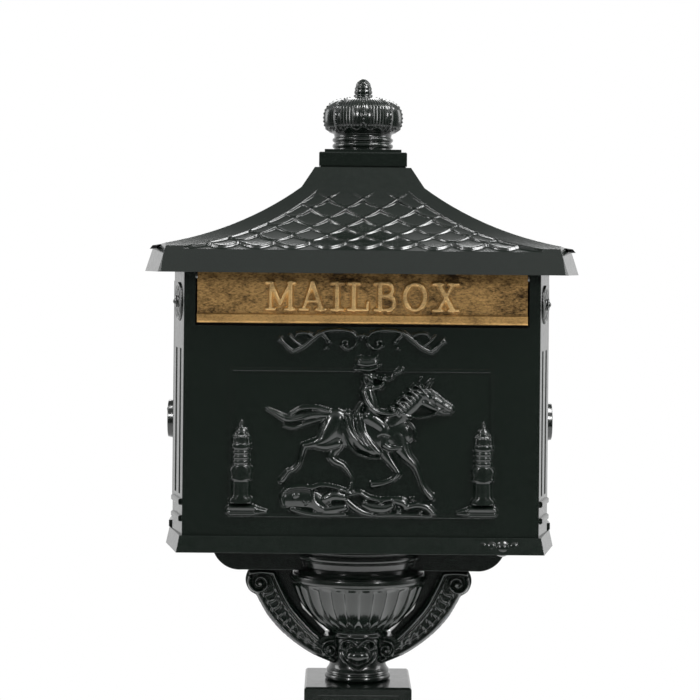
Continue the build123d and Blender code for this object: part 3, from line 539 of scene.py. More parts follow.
def shingle_height(x, s, rows):
    """Fish-scale slates: rounded lower ends with a raised rim, each row half a slate across from the last."""
    best = np.full(x.shape, -GAP_DEPTH)
    for k in range(rows):
        shift = 0.0 if (rows - 1 - k) % 2 == 0 else 0.5
        u = 2 * np.abs((x / SCALE_WIDE - shift) - np.round(x / SCALE_WIDE - shift))
        edge_line = k * ROW_PITCH + 1.0 + SCALE_DEEP * u**1.7
        steep = SCALE_DEEP * 1.7 * u**0.7 * 2 / SCALE_WIDE
        above = (s - edge_line) / np.sqrt(1 + steep**2)
        lip = LIP_PROUD * np.exp(-(((above - LIP_AT) / LIP_WIDE) ** 2))
        body = SCALE_THICK - LIP_PROUD - SLATE_FALL * np.clip(above, 0, 30)
        rise = np.clip((above + 0.5) / SLATE_RISE, 0, 1)
        height = (body + lip) * rise * rise * (3 - 2 * rise)
        under = np.where(above < 0.6, best, -GAP_DEPTH)
        best = np.where(above > -0.5, np.maximum(height, under), best)
    return best


def shingle_field(name, eave, turn, other_eave, other_turn, place, step):
    """Slates in the sunk field of one roof slope, with a bevel that rises to the smooth hip margins."""
    along, out, up, slope = hollow_line(eave, turn)
    _, other_out, other_up, _ = hollow_line(other_eave, other_turn)
    rows = int(round(along[-1] / ROW_PITCH))
    end = float(np.interp(FIELD_TOP, up, along))
    s = np.append(np.arange(0.05, end + PAST, step * 0.8), end + PAST)
    o, z, t = (np.interp(s, along, v) for v in (out, up, slope))
    hip = np.interp(z, other_up, other_out)
    border = hip - MARGIN_TOP - MARGIN_GROWS * np.clip((ROOF_HIGH - z) / (ROOF_HIGH - ROOF_LOW), 0, 1)
    share = np.linspace(-1, 1, int(2 * border.max() / step))
    S, W = np.meshgrid(s, share, indexing="ij")
    X = W * (border[:, None] + PAST)
    pitch = along[-1] / rows
    pattern = shingle_height(X, S * ROW_PITCH / pitch, rows) * FIELD_DEPTH / SCALE_THICK - FIELD_DEPTH
    beside = np.clip((border[:, None] - np.abs(X)) / BEVEL_WIDE, 0, 1)
    below = np.clip((end - S) / FADE, 0, 1)
    fading = np.minimum(beside, below * below * (3 - 2 * below))
    bevel = -BELOW_SKIN - fading * (FIELD_DEPTH + GAP_DEPTH)
    height = np.maximum(np.minimum(pattern, -BELOW_SKIN), bevel)
    height = height - (1 - beside) * np.clip(1 - S / EAVE_DIP, 0, 1) * EAVE_DIP
    n, m = S.shape
    points = place(X, (o[:, None] + np.sin(t)[:, None] * height), (z[:, None] + np.cos(t)[:, None] * height))
    index = np.arange(n * m).reshape(n, m)
    quads = np.stack([index[:-1, :-1], index[:-1, 1:], index[1:, 1:], index[1:, :-1]], -1).reshape(-1, 4)
    add_piece(name, points.reshape(-1, 3) * MM, [tuple(q) for q in quads.tolist()])


def make_shingles():
    front = lambda x, o, z: np.stack([x, -o + 0 * x, z + 0 * x], -1)
    back = lambda x, o, z: np.stack([-x, o + 0 * x, z + 0 * x], -1)
    right = lambda x, o, z: np.stack([o + 0 * x, x, z + 0 * x], -1)
    left = lambda x, o, z: np.stack([-o + 0 * x, -x, z + 0 * x], -1)
    shingle_field("shingles_front", FRONT_EAVE, FRONT_TURN, SIDE_EAVE, SIDE_TURN, front, 1.0)
    shingle_field("shingles_back", FRONT_EAVE, FRONT_TURN, SIDE_EAVE, SIDE_TURN, back, 1.2)
    shingle_field("shingles_right", SIDE_EAVE, SIDE_TURN, FRONT_EAVE, FRONT_TURN, right, 1.2)
    shingle_field("shingles_left", SIDE_EAVE, SIDE_TURN, FRONT_EAVE, FRONT_TURN, left, 1.2)


make_shingles()

# ---------------------------------------------------------------- crown finial
RIBS, BANDS, HEM_WAVES = 72, 8, 16


def crown_outline():
    neck = [
        (29, 1096), (29.2, 1098.4), (30.6, 1099.6), (31, 1101), (30.6, 1102.4), (29.2, 1103.6),
        (29, 1104),
    ]
    neck += [
        (29.2, 1104.6), (30.6, 1105.7), (31, 1107), (30.6, 1108.4), (29.2, 1109.4), (29, 1110.5),
        (29.4, 1112.5),
    ]
    bulb = flow([
        (29.6, 1113.0), (33.4, 1115.2), (37.2, 1120), (38.8, 1127), (38.6, 1133.5), (36.8, 1139.2),
        (32.8, 1144.2), (26, 1147.8), (17, 1149.8), (9.8, 1150.6),
    ], 7)
    cap = [
        (9.6, 1151), (9.7, 1153), (8.7, 1154), (9.1, 1155), (9.3, 1156.3), (8.6, 1157.8), (8.5, 1158.4),
        (8.8, 1160), (7.9, 1161.6),
    ]
    top = flow([(7.7, 1162), (6.9, 1165), (4.9, 1167.7), (2.6, 1169.4), (0.01, 1169.9)], 5)
    return np.vstack([fine_line(neck, 0.7), bulb, fine_line(cap, 0.8), top])


def crown_shape(turn, r, z):
    on_bulb = np.clip((z - 1114) / 3, 0, 1) * np.clip((1150.2 - z) / 3, 0, 1)
    r = r + on_bulb * 0.42 * np.cos(RIBS * turn)
    band = np.abs(((turn * BANDS / math.tau) + 0.5) % 1 - 0.5) * math.tau / BANDS
    strip = np.clip(1 - (band * r / 3.2) ** 4, 0, 1)
    r = r + on_bulb * strip * 0.9
    hem = np.clip(1 - np.abs(z - 1116.6 - 1.5 * np.cos(HEM_WAVES * turn)) / 1.4, 0, 1)
    r = r + hem * 1.1
    pine = np.clip((z - 1161.5) / 1.5, 0, 1) * np.clip((1169.5 - z) / 2, 0, 1)
    r = r + pine * 0.25 * np.cos(14 * turn) * np.cos((z - 1161) * 2.2)
    return r, z


def make_crown():
    outline = crown_outline()
    parts = [turned_parts(outline, 288, crown_shape)]
    meridian = flow([
        (35.9, 1117.6), (38.5, 1122), (39.4, 1127.5), (39.2, 1133.5), (37.3, 1139.2), (33.2, 1144.0),
        (26.2, 1147.4), (17.5, 1149.2),
    ], 8)
    length = np.concatenate([[0], np.cumsum(np.hypot(*np.diff(meridian, axis=0).T))])
    for k in range(BANDS):
        angle = (k + 0.0) * math.tau / BANDS + math.tau / 4
        for at in np.arange(1.5, length[-1] - 1, 3.9):
            r = np.interp(at, length, meridian[:, 0]) + 0.2
            z = np.interp(at, length, meridian[:, 1])
            parts.append(ball_parts((r * math.cos(angle), r * math.sin(angle), z), (1.35, 1.35, 1.35), 7, 9))
    verts, faces = merge(parts)
    add_piece("crown_bulb", verts, faces, stands_for=("crown_finial",), crease=50)


make_crown()

# ---------------------------------------------------------------- urn
FLUTES = 30


def urn_outline():
    foot = [
        (31, 559.2), (33, 560.5), (33.5, 562.5), (33, 564.5), (31.6, 565.6), (31.4, 566.4), (32.2, 567.4),
        (31.6, 569),
    ]
    neck = flow([(31, 569.5), (29, 573), (28, 579), (27.6, 590), (28, 599), (28.6, 602)], 6)
    lip = [(29.6, 602.6), (30.6, 604), (30.6, 605.6), (29.8, 607)]
    bowl = flow([(30, 608), (33.5, 611.5), (43, 619.5), (53.5, 630), (61.5, 642.5), (66.6, 655.5)], 12)
    rim = [
        (67.2, 657.5), (68.2, 659), (69.6, 660.2), (70, 662.2), (70, 665.6), (69.4, 666.8), (66.2, 667),
        (60, 666),
    ]
    return np.vstack([fine_line(foot, 0.8), neck, fine_line(lip, 0.8), bowl, fine_line(rim, 0.8)])


def urn_shape(turn, r, z):
    across = ((turn - math.tau / 4) * FLUTES / math.tau) % 1
    ridge = np.abs(across - 0.5) * 2
    on = np.clip((z - 612) / 8, 0, 1) * np.clip((657.5 - z) / 3, 0, 1)
    hollow = 1 - ridge**2.2
    depth = np.clip((z - 608) / 40, 0, 1) * 1.5 + 0.5
    r = r - on * hollow * depth + on * 0.7 * np.exp(-(((ridge - 1) / 0.16) ** 2))
    leaf = np.clip((622.5 - z) / 4 - 1.6 * (1 - ridge) ** 1.5 + 0.3, 0, 1) * np.clip((z - 608) / 2, 0, 1)
    r = r + leaf * 1.6
    return r, z


def make_urn():
    verts, faces = turned_parts(urn_outline(), 480, urn_shape)
    add_piece("urn_bowl", verts, faces, stands_for=("capital_bowl",), crease=50)


make_urn()


def spiral(centre, start, turns, r0, r1, count=40):
    t = np.linspace(0, 1, count)
    angle = start + turns * math.tau * t
    radius = r0 + (r1 - r0) * t**0.8
    return np.stack([centre[0] + radius * np.cos(angle), centre[1] + radius * np.sin(angle)], -1)


def with_size(line, radius, height):
    """Adds a radius and a height, even or tapering from the first to the second, to each point of a line."""
    t = np.linspace(0, 1, len(line))[:, None]
    r = radius if isinstance(radius, tuple) else (radius, radius)
    h = height if isinstance(height, tuple) else (height, height)
    return np.hstack([line, r[0] + (r[1] - r[0]) * t, h[0] + (h[1] - h[0]) * t])


OUTER_LINE = [(-103, 645.5), (-90, 623.5), (-72, 604.5), (-49, 588.3), (-26, 578)]
INNER_LINE = [(-84, 668), (-75.5, 650), (-66.5, 634), (-52.5, 617), (-38, 603)]


def point_along(line, share):
    shares = np.linspace(0, 1, len(line))
    return np.array([np.interp(share, shares, line[:, i]) for i in (0, 1)])


def console_field():
    """Face of the left scroll bracket: double rims, acanthus ribs, a volute at each end."""
    field = Relief(-115, -17, 575, 672, 0.6)
    outer, inner = flow(OUTER_LINE, 12), flow(INNER_LINE, 12)
    field.roll(*with_size(outer + (1.8, 1.8), 2.0, 3.2), smooth=False)
    field.roll(*with_size(outer + (5.2, 5.4), 1.1, 2.2), smooth=False)
    field.roll(*with_size(inner + (-2.0, -1.2), 1.9, 3.2), smooth=False)
    field.roll(*with_size(inner + (-5.6, -3.6), 1.0, 2.2), smooth=False)
    for t in np.linspace(0.05, 0.93, 11):
        foot = point_along(outer, t) + (5, 5)
        head = point_along(inner, min(t + 0.10, 1)) - (6, 4)
        bend = (foot + head) / 2 + (2.0, -2.0)
        field.roll((*foot, 2.6, 1.6), (*bend, 2.5, 2.8), (*head, 1.6, 1.9), round_=0.8)
        field.groove((*foot, 0.7, 0.9), (*bend, 0.7, 1.0), (*head, 0.5, 0.6))
    top = spiral((-99.8, 657.8), math.radians(150), 1.6, 11.6, 1.8)
    field.roll(*with_size(top, (2.2, 1.4), (4.4, 5.0)), smooth=False)
    field.roll((-99.8, 657.8, 3.0, 5.4), (-99.7, 657.8, 3.0, 5.4), smooth=False)
    field.roll((-109, 667.4, 2.0, 3.4), (-98, 668.4, 2.0, 3.4), (-87, 667.6, 2.0, 3.4))
    low = spiral((-28.5, 590.6), math.radians(70), 1.8, 9.8, 1.4)
    field.roll(*with_size(low, (1.9, 1.2), (4.2, 4.8)), smooth=False)
    field.roll((-28.5, 590.6, 2.6, 5.0), (-28.4, 590.6, 2.6, 5.0), smooth=False)
    return field.soften(1)


def mirrored_parts(parts):
    points, faces = parts
    points = np.array(points) * (-1, 1, 1)
    return points, [tuple(reversed(f)) for f in faces]


def make_consoles():
    field = console_field()
    front = field.parts(plane_place((0, -17, 0), (0, -1, 0)), sink=0.5)
    rear_points, rear_faces = front
    rear = np.array(rear_points) * (1, -1, 1), [tuple(reversed(f)) for f in rear_faces]
    left = merge([front, rear])
    add_piece("console_scrolls_left", *left)
    add_piece("console_scrolls_right", *merge([mirrored_parts(front), mirrored_parts(rear)]))


make_consoles()


def make_shells():
    """Heart-shaped shield round a smooth domed boss, on the front and back of the urn's neck."""
    field = Relief(-20, 20, -19, 20, 0.5)
    edge = flow([(0, 8.5), (7, 14.5), (14.6, 11.5), (17, 3), (13.2, -6), (6.4, -11.4), (0, -15.6)], 8)
    half = edge[edge[:, 0] >= -1e-6][::-1]
    half = half[np.argsort(half[:, 1])]
    width = np.interp(field.B, half[:, 1], half[:, 0], left=0, right=0)
    field.h = np.where(np.abs(field.A) < np.maximum(width - 1.0, 0), 3.0, 0)
    for side in (-1, 1):
        rim = edge * (side, 1)
        field.roll(*with_size(rim, (2.0, 2.6), (5.4, 7.4)), smooth=False)
        curl = spiral((side * 11.2, 9.0), math.radians(90), side * -0.9, 5.0, 1.4, 24)
        field.roll(*with_size(curl, (1.5, 1.1), (6.0, 6.6)), smooth=False)
    share = np.hypot(field.A / 11.6, (field.B + 1.2) / 8.8)
    field.h = np.maximum(field.h, 11.5 * np.clip(1 - share**2.4, 0, 1) ** 0.6)
    field.soften(2)
    parts = [field.parts(drum_place(28.2, 588, facing), sink=1.0) for facing in (-math.tau / 4, math.tau / 4)]
    verts, faces = merge(parts)
    add_piece("neck_shells", verts, faces, stands_for=("shell_bosses",))


make_shells()

# ---------------------------------------------------------------- front panel relief
PANEL_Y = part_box("front_panel")[0].y / MM
FRAME_MID = 808.8


def horse_and_rider():
    f = Relief(-93, 93, -73, 88, 0.6)
    # rocks and fallen branches under the hooves
    f.roll((-68, -54, 8, 3.6), (-58, -53, 10, 4.2), (-45, -55, 9, 4.0), (-38, -60, 8, 3.6))
    f.roll(
        (-73, -60, 1.8, 3.8), (-75, -51, 1.8, 4.8), (-68, -44.5, 1.8, 5.2), (-56, -42.5, 1.9, 5.4),
        (-46, -43.5, 1.9, 5.4), (-36, -41, 1.8, 5.0), (-22, -43.5, 1.8, 5.2), (-9, -48, 1.8, 5.2),
    )
    f.roll((-46, -44, 1.6, 5.0), (-45, -54, 1.6, 5.0), (-38, -62, 1.8, 4.6), (-28, -66, 2.0, 4.6))
    f.roll((-33, -54, 4.5, 5.2), (-25, -51, 5.6, 6.4), (-16, -52, 4.6, 5.4))
    f.roll((-33, -65, 4.2, 4.4), (-24, -63.5, 5.0, 5.4), (-15, -62, 4.0, 4.6))
    f.roll((-12, -56, 3.4, 4.6), (-5, -62, 3.6, 5.2), (4, -67, 3.2, 4.6), (12, -69, 2.6, 4.0))
    f.roll(
        (-10, -50, 2.2, 5.0), (0, -48, 2.2, 5.4), (8, -52.5, 2.4, 5.4), (20, -55, 2.4, 5.2),
        (30, -54, 2.2, 5.0),
    )
    f.roll((4, -59, 3.8, 4.6), (13, -62, 5.2, 5.8), (24, -62.5, 5.0, 5.6), (31, -60, 3.4, 4.6))
    f.roll((33, -55, 3.4, 5.2), (41, -57, 4.4, 5.8), (46, -61, 3.6, 5.0))
    f.roll((44, -62, 3.0, 4.6), (54, -59.5, 3.4, 5.2), (64, -61, 3.6, 5.2), (71, -67, 3.4, 4.8))
    f.roll((-66, -64, 2.2, 3.6), (-52, -68, 2.4, 4.0), (-36, -69.5, 2.4, 4.0), (-14, -69, 2.2, 4.0))
    f.roll((16, -69.5, 2.2, 3.8), (34, -69, 2.4, 4.0), (54, -69.5, 2.2, 3.8), (68, -70, 2.0, 3.4))
    for a, b, r in (
        (-62, -51, 3.4), (-52, -58, 3.0), (-30, -58, 2.6), (-20, -45, 2.2), (4, -56, 2.4), (20, -57, 2.6),
        (37, -65, 3.0), (58, -66, 2.6), (50, -54, 2.0),
    ):
        f.roll((a, b, r, 5.6), (a + r * 0.7, b + 0.6, r * 0.8, 5.4))
    # tail
    f.roll(
        (-26, 27, 3.8, 4.4), (-40, 27.5, 4.4, 4.8), (-56, 24.5, 4.2, 4.4), (-70, 22.5, 3.4, 3.8),
        (-80, 27, 2.4, 3.0), (-89.5, 32, 1.2, 2.0),
    )
    f.roll((-30, 30, 2.2, 4.8), (-44, 33.5, 2.2, 5.2), (-57, 32.5, 2.0, 4.8), (-67, 27, 1.6, 4.0))
    f.roll((-34, 24, 2.0, 4.2), (-51, 19, 2.2, 4.4), (-63, 14.5, 2.0, 3.8), (-73, 16, 1.4, 2.8))
    for k in range(4):
        f.groove(
            (-30, 29 - 1.8 * k, 0.6, 0.9), (-46, 29.5 - 2.4 * k, 0.7, 1.2), (-62, 25 - 2.4 * k, 0.6, 1.0),
            (-74, 23 - 1.0 * k, 0.5, 0.7),
        )
    # far legs
    f.roll(
        (-22, -2, 6.0, 3.6), (-27.5, -12, 4.2, 3.4), (-24, -18, 3.6, 3.6), (-15.5, -22.5, 2.8, 3.4),
        (-8.5, -32, 2.2, 3.0), (-8, -38.5, 2.5, 3.2),
    )
    f.roll((-8, -38.5, 2.6, 3.4), (-9.5, -45, 3.4, 3.8))
    f.roll(
        (23, -8, 6.0, 3.6), (29, -17, 4.0, 3.6), (35.5, -26, 3.0, 3.6), (36.5, -30, 3.0, 3.8),
        (31, -35.5, 2.1, 3.2), (22, -39, 2.3, 3.2),
    )
    f.roll((22, -39, 2.4, 3.4), (12.5, -40, 3.6, 4.0))
    # trunk, hindquarter, near legs
    f.roll((-24, 17, 14, 5.4), (-8, 12, 16.5, 5.8), (10, 9, 17.5, 6.0), (27, 9, 16, 5.8), (40, 11, 12.5, 5.6))
    f.roll(
        (-24, 21, 11.5, 6.4), (-30, 11, 10.5, 6.4), (-36, 2.5, 6.6, 6.0), (-46, -1.5, 4.2, 5.4),
        (-54, -3, 3.3, 5.0),
    )
    f.roll((-46, -1.5, 3.6, 5.2), (-34, -2.5, 5.2, 5.6), (-22, 0, 6.4, 5.6))
    f.roll(
        (-54, -3, 3.2, 5.0), (-56.5, -12, 2.3, 4.2), (-58.5, -20, 2.3, 4.2), (-63, -25.5, 2.6, 4.4),
        (-69, -28.5, 2.6, 4.6),
    )
    f.roll((-69, -28.5, 2.8, 4.6), (-74.5, -36, 3.8, 5.0))
    f.roll(
        (36, 6, 10.5, 6.6), (39, -3, 8.4, 6.4), (45, -12.5, 5.4, 6.0), (52.5, -20.5, 3.8, 5.6),
        (56, -28, 2.6, 4.8), (59.5, -38, 2.4, 4.6), (61.5, -43, 2.7, 4.8),
    )
    f.roll((61.5, -43, 2.8, 5.0), (68.5, -51.5, 4.0, 5.4))
    f.groove((-33, 20, 0.8, 1.0), (-40, 8, 0.9, 1.4), (-45, 1.5, 0.7, 1.0))
    f.groove((28, 2, 0.8, 0.8), (31, -6, 0.9, 1.3), (38, -12.5, 0.8, 1.2))
    f.groove((44, 21, 0.7, 0.7), (48, 10, 0.9, 1.2), (45, 1, 0.8, 1.0))
    f.groove((-17, 2, 0.8, 0.9), (-20, -4, 0.9, 1.2), (-30, -7, 0.7, 0.9))
    # neck, head, ears, mane, tail of the bridle
    f.roll((30, 20, 10, 5.8), (40, 29, 9.4, 6.2), (50, 38, 8.6, 6.6), (58, 46, 7.4, 6.8))
    f.roll((60, 47.5, 7.0, 7.2), (69, 43.5, 6.0, 7.2), (78, 38, 4.6, 6.8), (86, 33.5, 3.9, 6.6))
    f.roll((62, 40, 5.4, 6.6), (70, 35.5, 4.4, 6.4), (79, 31, 3.2, 6.0), (85, 30, 2.6, 5.8))
    f.roll((58, 53, 2.0, 6.4), (57, 58, 1.7, 6.2), (58, 62.5, 0.9, 5.4))
    f.roll((63, 52.5, 2.1, 7.0), (65.5, 57.5, 1.8, 6.8), (68.5, 61, 0.9, 6.0))
    for k in range(9):
        t = k / 8
        root = (33 + 24 * t, 31 + 23 * t)
        f.roll(
            (root[0] + 4, root[1] - 4, 1.9, 7.6), (*root, 1.9, 7.4),
            (root[0] - 4.5, root[1] + 2.2 - 1.5 * (k % 2), 1.5, 5.8),
            (root[0] - 8.0, root[1] - 0.5 + 2.5 * (k % 2), 0.9, 3.6),
        )
    f.roll((62, 52, 1.8, 7.8), (67, 49.5, 1.8, 8.0), (71, 45, 1.2, 7.6))
    f.roll((60, 50, 1.6, 7.8), (64, 45.5, 1.6, 8.0), (66, 41, 1.1, 7.4))
    f.groove((84, 34.8, 0.6, 0.9), (87.2, 35.6, 0.7, 1.2), smooth=False)
    f.groove((79.5, 30.6, 0.5, 1.0), (88, 31.4, 0.6, 1.2), smooth=False)
    f.roll((71.2, 43.2, 1.5, 8.2), (72.6, 42.8, 1.3, 8.2), smooth=False)
    f.roll((64, 52, 0.9, 8.0), (70, 42, 0.9, 8.1), (74, 31.5, 0.9, 7.2))
    f.roll((79.5, 41.2, 0.9, 7.6), (80, 36, 0.9, 7.8), (79, 29.6, 0.9, 6.8))
    f.roll((80, 34, 0.9, 7.6), (66, 27, 1.0, 7.2), (52, 25.5, 1.0, 7.4), (37, 29, 1.1, 8.0))
    f.roll((45, 22, 1.3, 7.0), (52, 14, 1.3, 6.8), (52, 4, 1.2, 6.2))
    # saddle cloth with folds
    f.roll((-12, 27, 4.6, 6.6), (-8, 12, 5.6, 7.0), (0, -1, 5.8, 6.8), (13, -8, 5.2, 6.4))
    f.roll((-2, 27, 5.0, 7.0), (2, 12, 6.0, 7.2), (10, 0, 5.6, 7.0), (18, -8.5, 4.2, 6.4))
    for k in range(4):
        t = 4.6 * k
        f.roll(
            (-14.5 + t, 24, 1.5, 7.6), (-11.5 + t, 13 - 0.8 * k, 1.6, 8.2),
            (-3 + 0.8 * t, 2 - 0.8 * k, 1.5, 8.0), (8 + 0.5 * t, -8 + 0.3 * k, 1.1, 7.2),
        )
    f.roll(
        (-17, 25, 1.2, 7.0), (-15.5, 9, 1.2, 7.4), (-7, -6, 1.2, 7.2), (8, -13.5, 1.2, 6.8),
        (20, -14, 1.2, 6.4),
    )
    # rider: seat, leg and boot, body, arms, head and hat
    f.roll((-3, 30, 3.2, 6.8), (0, 36, 2.4, 5.6), (2.5, 39.5, 1.4, 4.2))
    f.roll(
        (8, 25, 8.0, 8.4), (16, 20, 7.2, 8.8), (22, 14.5, 6.2, 8.8), (22.5, 6, 5.0, 8.4),
        (23.5, -1.5, 4.4, 8.2),
    )
    f.roll((23.5, -1, 4.2, 8.4), (29, -4.5, 3.6, 8.2), (38.5, -4, 2.9, 7.6))
    f.groove((17, 6.5, 0.7, 1.2), (22, 8.2, 0.8, 1.3), (28, 6.5, 0.7, 1.2))
    f.roll((7, 50, 7.4, 7.8), (9.5, 41, 7.6, 8.2), (11, 33, 7.4, 8.2), (10, 26, 8.2, 8.2))
    f.groove((3, 47, 0.7, 1.0), (8, 38, 0.8, 1.4), (14, 29, 0.7, 1.1))
    f.roll(
        (3, 49, 3.6, 8.8), (5.5, 41, 3.9, 9.4), (11.5, 33, 3.6, 9.6), (20, 29.5, 3.0, 9.2),
        (29, 28.5, 2.4, 8.8), (34.5, 30, 2.5, 8.8),
    )
    f.roll((12, 53, 3.6, 8.4), (18.5, 54.5, 3.3, 8.8), (22, 59, 2.7, 8.8), (21.5, 63, 2.4, 8.6))
    f.roll(
        (15.5, 62.5, 1.1, 8.2), (22, 61.0, 1.2, 8.6), (29.5, 62.2, 1.5, 8.4), (32.5, 66.8, 1.9, 8.0),
        (38.5, 70.2, 3.0, 7.4),
    )
    f.roll((8.5, 55.5, 4.6, 7.8), (9.8, 59, 4.0, 8.0))
    f.roll((8.6, 64.5, 5.4, 8.4), (9.8, 62.0, 4.8, 8.6), (10.2, 60.4, 3.6, 8.4))
    f.roll((14.0, 63.4, 1.5, 7.6), (14.6, 62.4, 1.2, 7.4), smooth=False)
    f.groove((12.4, 65.0, 0.5, 0.5), (14.2, 65.2, 0.5, 0.5), smooth=False)
    f.groove((12.2, 60.6, 0.4, 0.4), (14.0, 60.8, 0.4, 0.4), smooth=False)
    f.roll((4.0, 66.5, 2.4, 7.6), (3.2, 61.5, 2.2, 7.2), (4.4, 57.5, 1.8, 6.6))
    f.roll((-1, 77, 4.6, 7.4), (6, 76, 6.0, 8.2), (13, 77.5, 4.8, 7.4))
    f.roll((-1.5, 81.5, 2.2, 6.6), (5, 80, 2.4, 7.0), (12.5, 82, 2.3, 6.6), (14.5, 82.5, 1.8, 6.2))
    f.roll(
        (-6, 70.5, 1.5, 6.6), (0, 71, 2.0, 8.6), (8, 70.6, 2.2, 9.4), (14, 72, 1.9, 8.4),
        (18.5, 74.5, 1.3, 6.6),
    )
    f.groove((0, 73.6, 0.6, 0.9), (7, 73.2, 0.7, 1.1), (13.5, 74.4, 0.6, 0.9))
    f.soften(1)
    f.h *= 0.86
    return f


# Height and half width down one side of a tower, from its foot to its tip.
TOWER = [
    (-59.5, 0), (-59.4, 10.5), (-57.5, 11.6), (-55.5, 11.8), (-53.5, 10.6), (-52.4, 9.2), (-51, 8.6),
    (-38, 8.2), (-36.6, 8.6), (-35.8, 10.4), (-34.4, 11.0), (-33, 10.2), (-31, 10.6), (-27.5, 11.6),
    (-24.5, 10.8), (-22.4, 9.0), (-21.6, 8.0), (-20.8, 8.0), (-20, 9.0), (-18, 9.0), (-17.2, 8.0),
    (-16, 8.0), (-15.2, 9.0), (-13.4, 9.0), (-12.6, 8.0), (-11.4, 8.0), (-10.6, 9.0), (-8.8, 9.0),
    (-8, 8.0), (-6.4, 8.2), (-5.4, 9.8), (-3.4, 10.2), (-1.6, 9.6), (-0.8, 8.4), (0.6, 8.8),
    (3.6, 9.2), (6.4, 8.0), (7.2, 6.2), (9.4, 6.4), (12, 5.0), (14, 2.8), (17.4, 1.8), (20.6, 0.5),
    (20.7, 0),
]


def tower_field():
    f = Relief(-16, 30, -73, 22, 0.5)
    f.turned(0, TOWER, 5.4)
    for k in range(-2, 3):
        f.groove((k * 3.4, -1.0, 0.8, 1.2), (k * 3.0, 7.0, 0.7, 1.0), smooth=False)
        f.roll((k * 3.5, 5.2, 1.5, 5.4), (k * 2.9, 8.4, 1.0, 4.8), smooth=False)
    f.bar((-9.6, -65.8, 5.4, 4.6), (12.0, -65.8, 5.4, 4.6), bevel=0.3)
    f.bar((12.0, -65.8, 5.2, 4.6), (24.0, -66.8, 1.8, 3.0), bevel=0.4)
    f.groove((-10, -65.8, 2.2, 1.0), (12, -65.8, 2.2, 1.0), smooth=False)
    return f.soften(1)


def scroll_field():
    f = Relief(-84, 84, 893, 921, 0.5)
    for m in (-1, 1):
        def pts(*rows):
            return [(m * a, b, r, h) for a, b, r, h in rows]

        f.roll(*pts(
            (66.8, 897.0, 2.2, 3.0), (57.3, 901.3, 2.4, 3.8), (46, 910.6, 2.3, 4.0),
            (36, 916.0, 2.0, 3.8), (23, 917.6, 1.8, 3.6), (11.2, 915.8, 1.6, 3.6), (6.0, 911.4, 1.5, 3.4),
            (5.6, 905.6, 1.4, 3.2), (9.6, 900.4, 1.4, 3.2), (15.4, 899.6, 1.4, 3.2),
            (19.4, 903.4, 1.3, 3.2), (17.6, 907.6, 1.3, 3.2), (13.8, 906.6, 1.3, 3.4),
        ))
        f.roll(*pts((14.6, 904.0, 2.2, 3.8), (14.7, 904.0, 2.2, 3.8)), smooth=False)
        f.roll(*pts((31.6, 906.6, 2.3, 3.6), (31.8, 906.4, 2.3, 3.6)), smooth=False)
        f.roll(*pts((34.6, 900.4, 1.9, 3.2), (34.0, 900.8, 1.9, 3.2)), smooth=False)
        f.roll(*pts((37.0, 913.0, 1.6, 2.8), (33.8, 909.4, 1.5, 3.0), (32.0, 905.0, 1.2, 2.8)))
        f.roll(*pts(
            (46, 910, 1.6, 3.0), (54, 914.4, 1.7, 3.2), (62, 913.6, 1.5, 2.8), (64.4, 910.6, 1.0, 2.2),
        ))
        f.roll(*pts((57, 901, 1.8, 3.0), (64, 905.6, 1.8, 3.0), (70, 911.6, 1.5, 2.6)))
        for k in range(5):
            f.roll(*pts(
                (64 + 1.6 * k, 896.8 + 0.5 * k, 1.5, 3.0), (71 + 1.0 * k, 900.8 + 1.0 * k, 1.7, 3.4),
                (77.0 + 0.8 * k, 908.8 + 0.4 * k - 1.6 * abs(k - 2), 1.3, 2.6),
            ))
    f.roll((0, 910.6, 2.2, 3.6), (0.1, 910.6, 2.2, 3.6), smooth=False)
    f.roll((-5, 911.5, 1.2, 2.6), (0, 912.6, 1.2, 2.8), (5, 911.5, 1.2, 2.6))
    return f.soften(1)


def make_front_relief():
    mid = plane_place((-1.0, PANEL_Y, FRAME_MID), (0, -1, 0))
    add_piece("rider_relief", *horse_and_rider().parts(mid))
    left = tower_field().parts(plane_place((-115.4, PANEL_Y, FRAME_MID), (0, -1, 0)))
    right = mirrored_parts(tower_field().parts(plane_place((-117.4, PANEL_Y, FRAME_MID), (0, -1, 0))))
    add_piece("tower_left", *left)
    add_piece("tower_right", *right)
    add_piece("scroll_ornament", *scroll_field().parts(plane_place((0, PANEL_Y, 0), (0, -1, 0))))


make_front_relief()

# ---------------------------------------------------------------- flap lettering
TALL = 28.5
THICK, THIN, SERIF = 2.7, 1.6, 1.5
LOW, HIGH = SERIF, TALL - SERIF
LETTER_SPREAD, LETTER_PROUD, LETTER_BEVEL = 0.75, 3.0, 0.5


def arc_line(cx, cz, rx, rz, a0, a1, count=14):
    turn = np.radians(np.linspace(a0, a1, count))
    return [(cx + rx * math.cos(t), cz + rz * math.sin(t)) for t in turn]


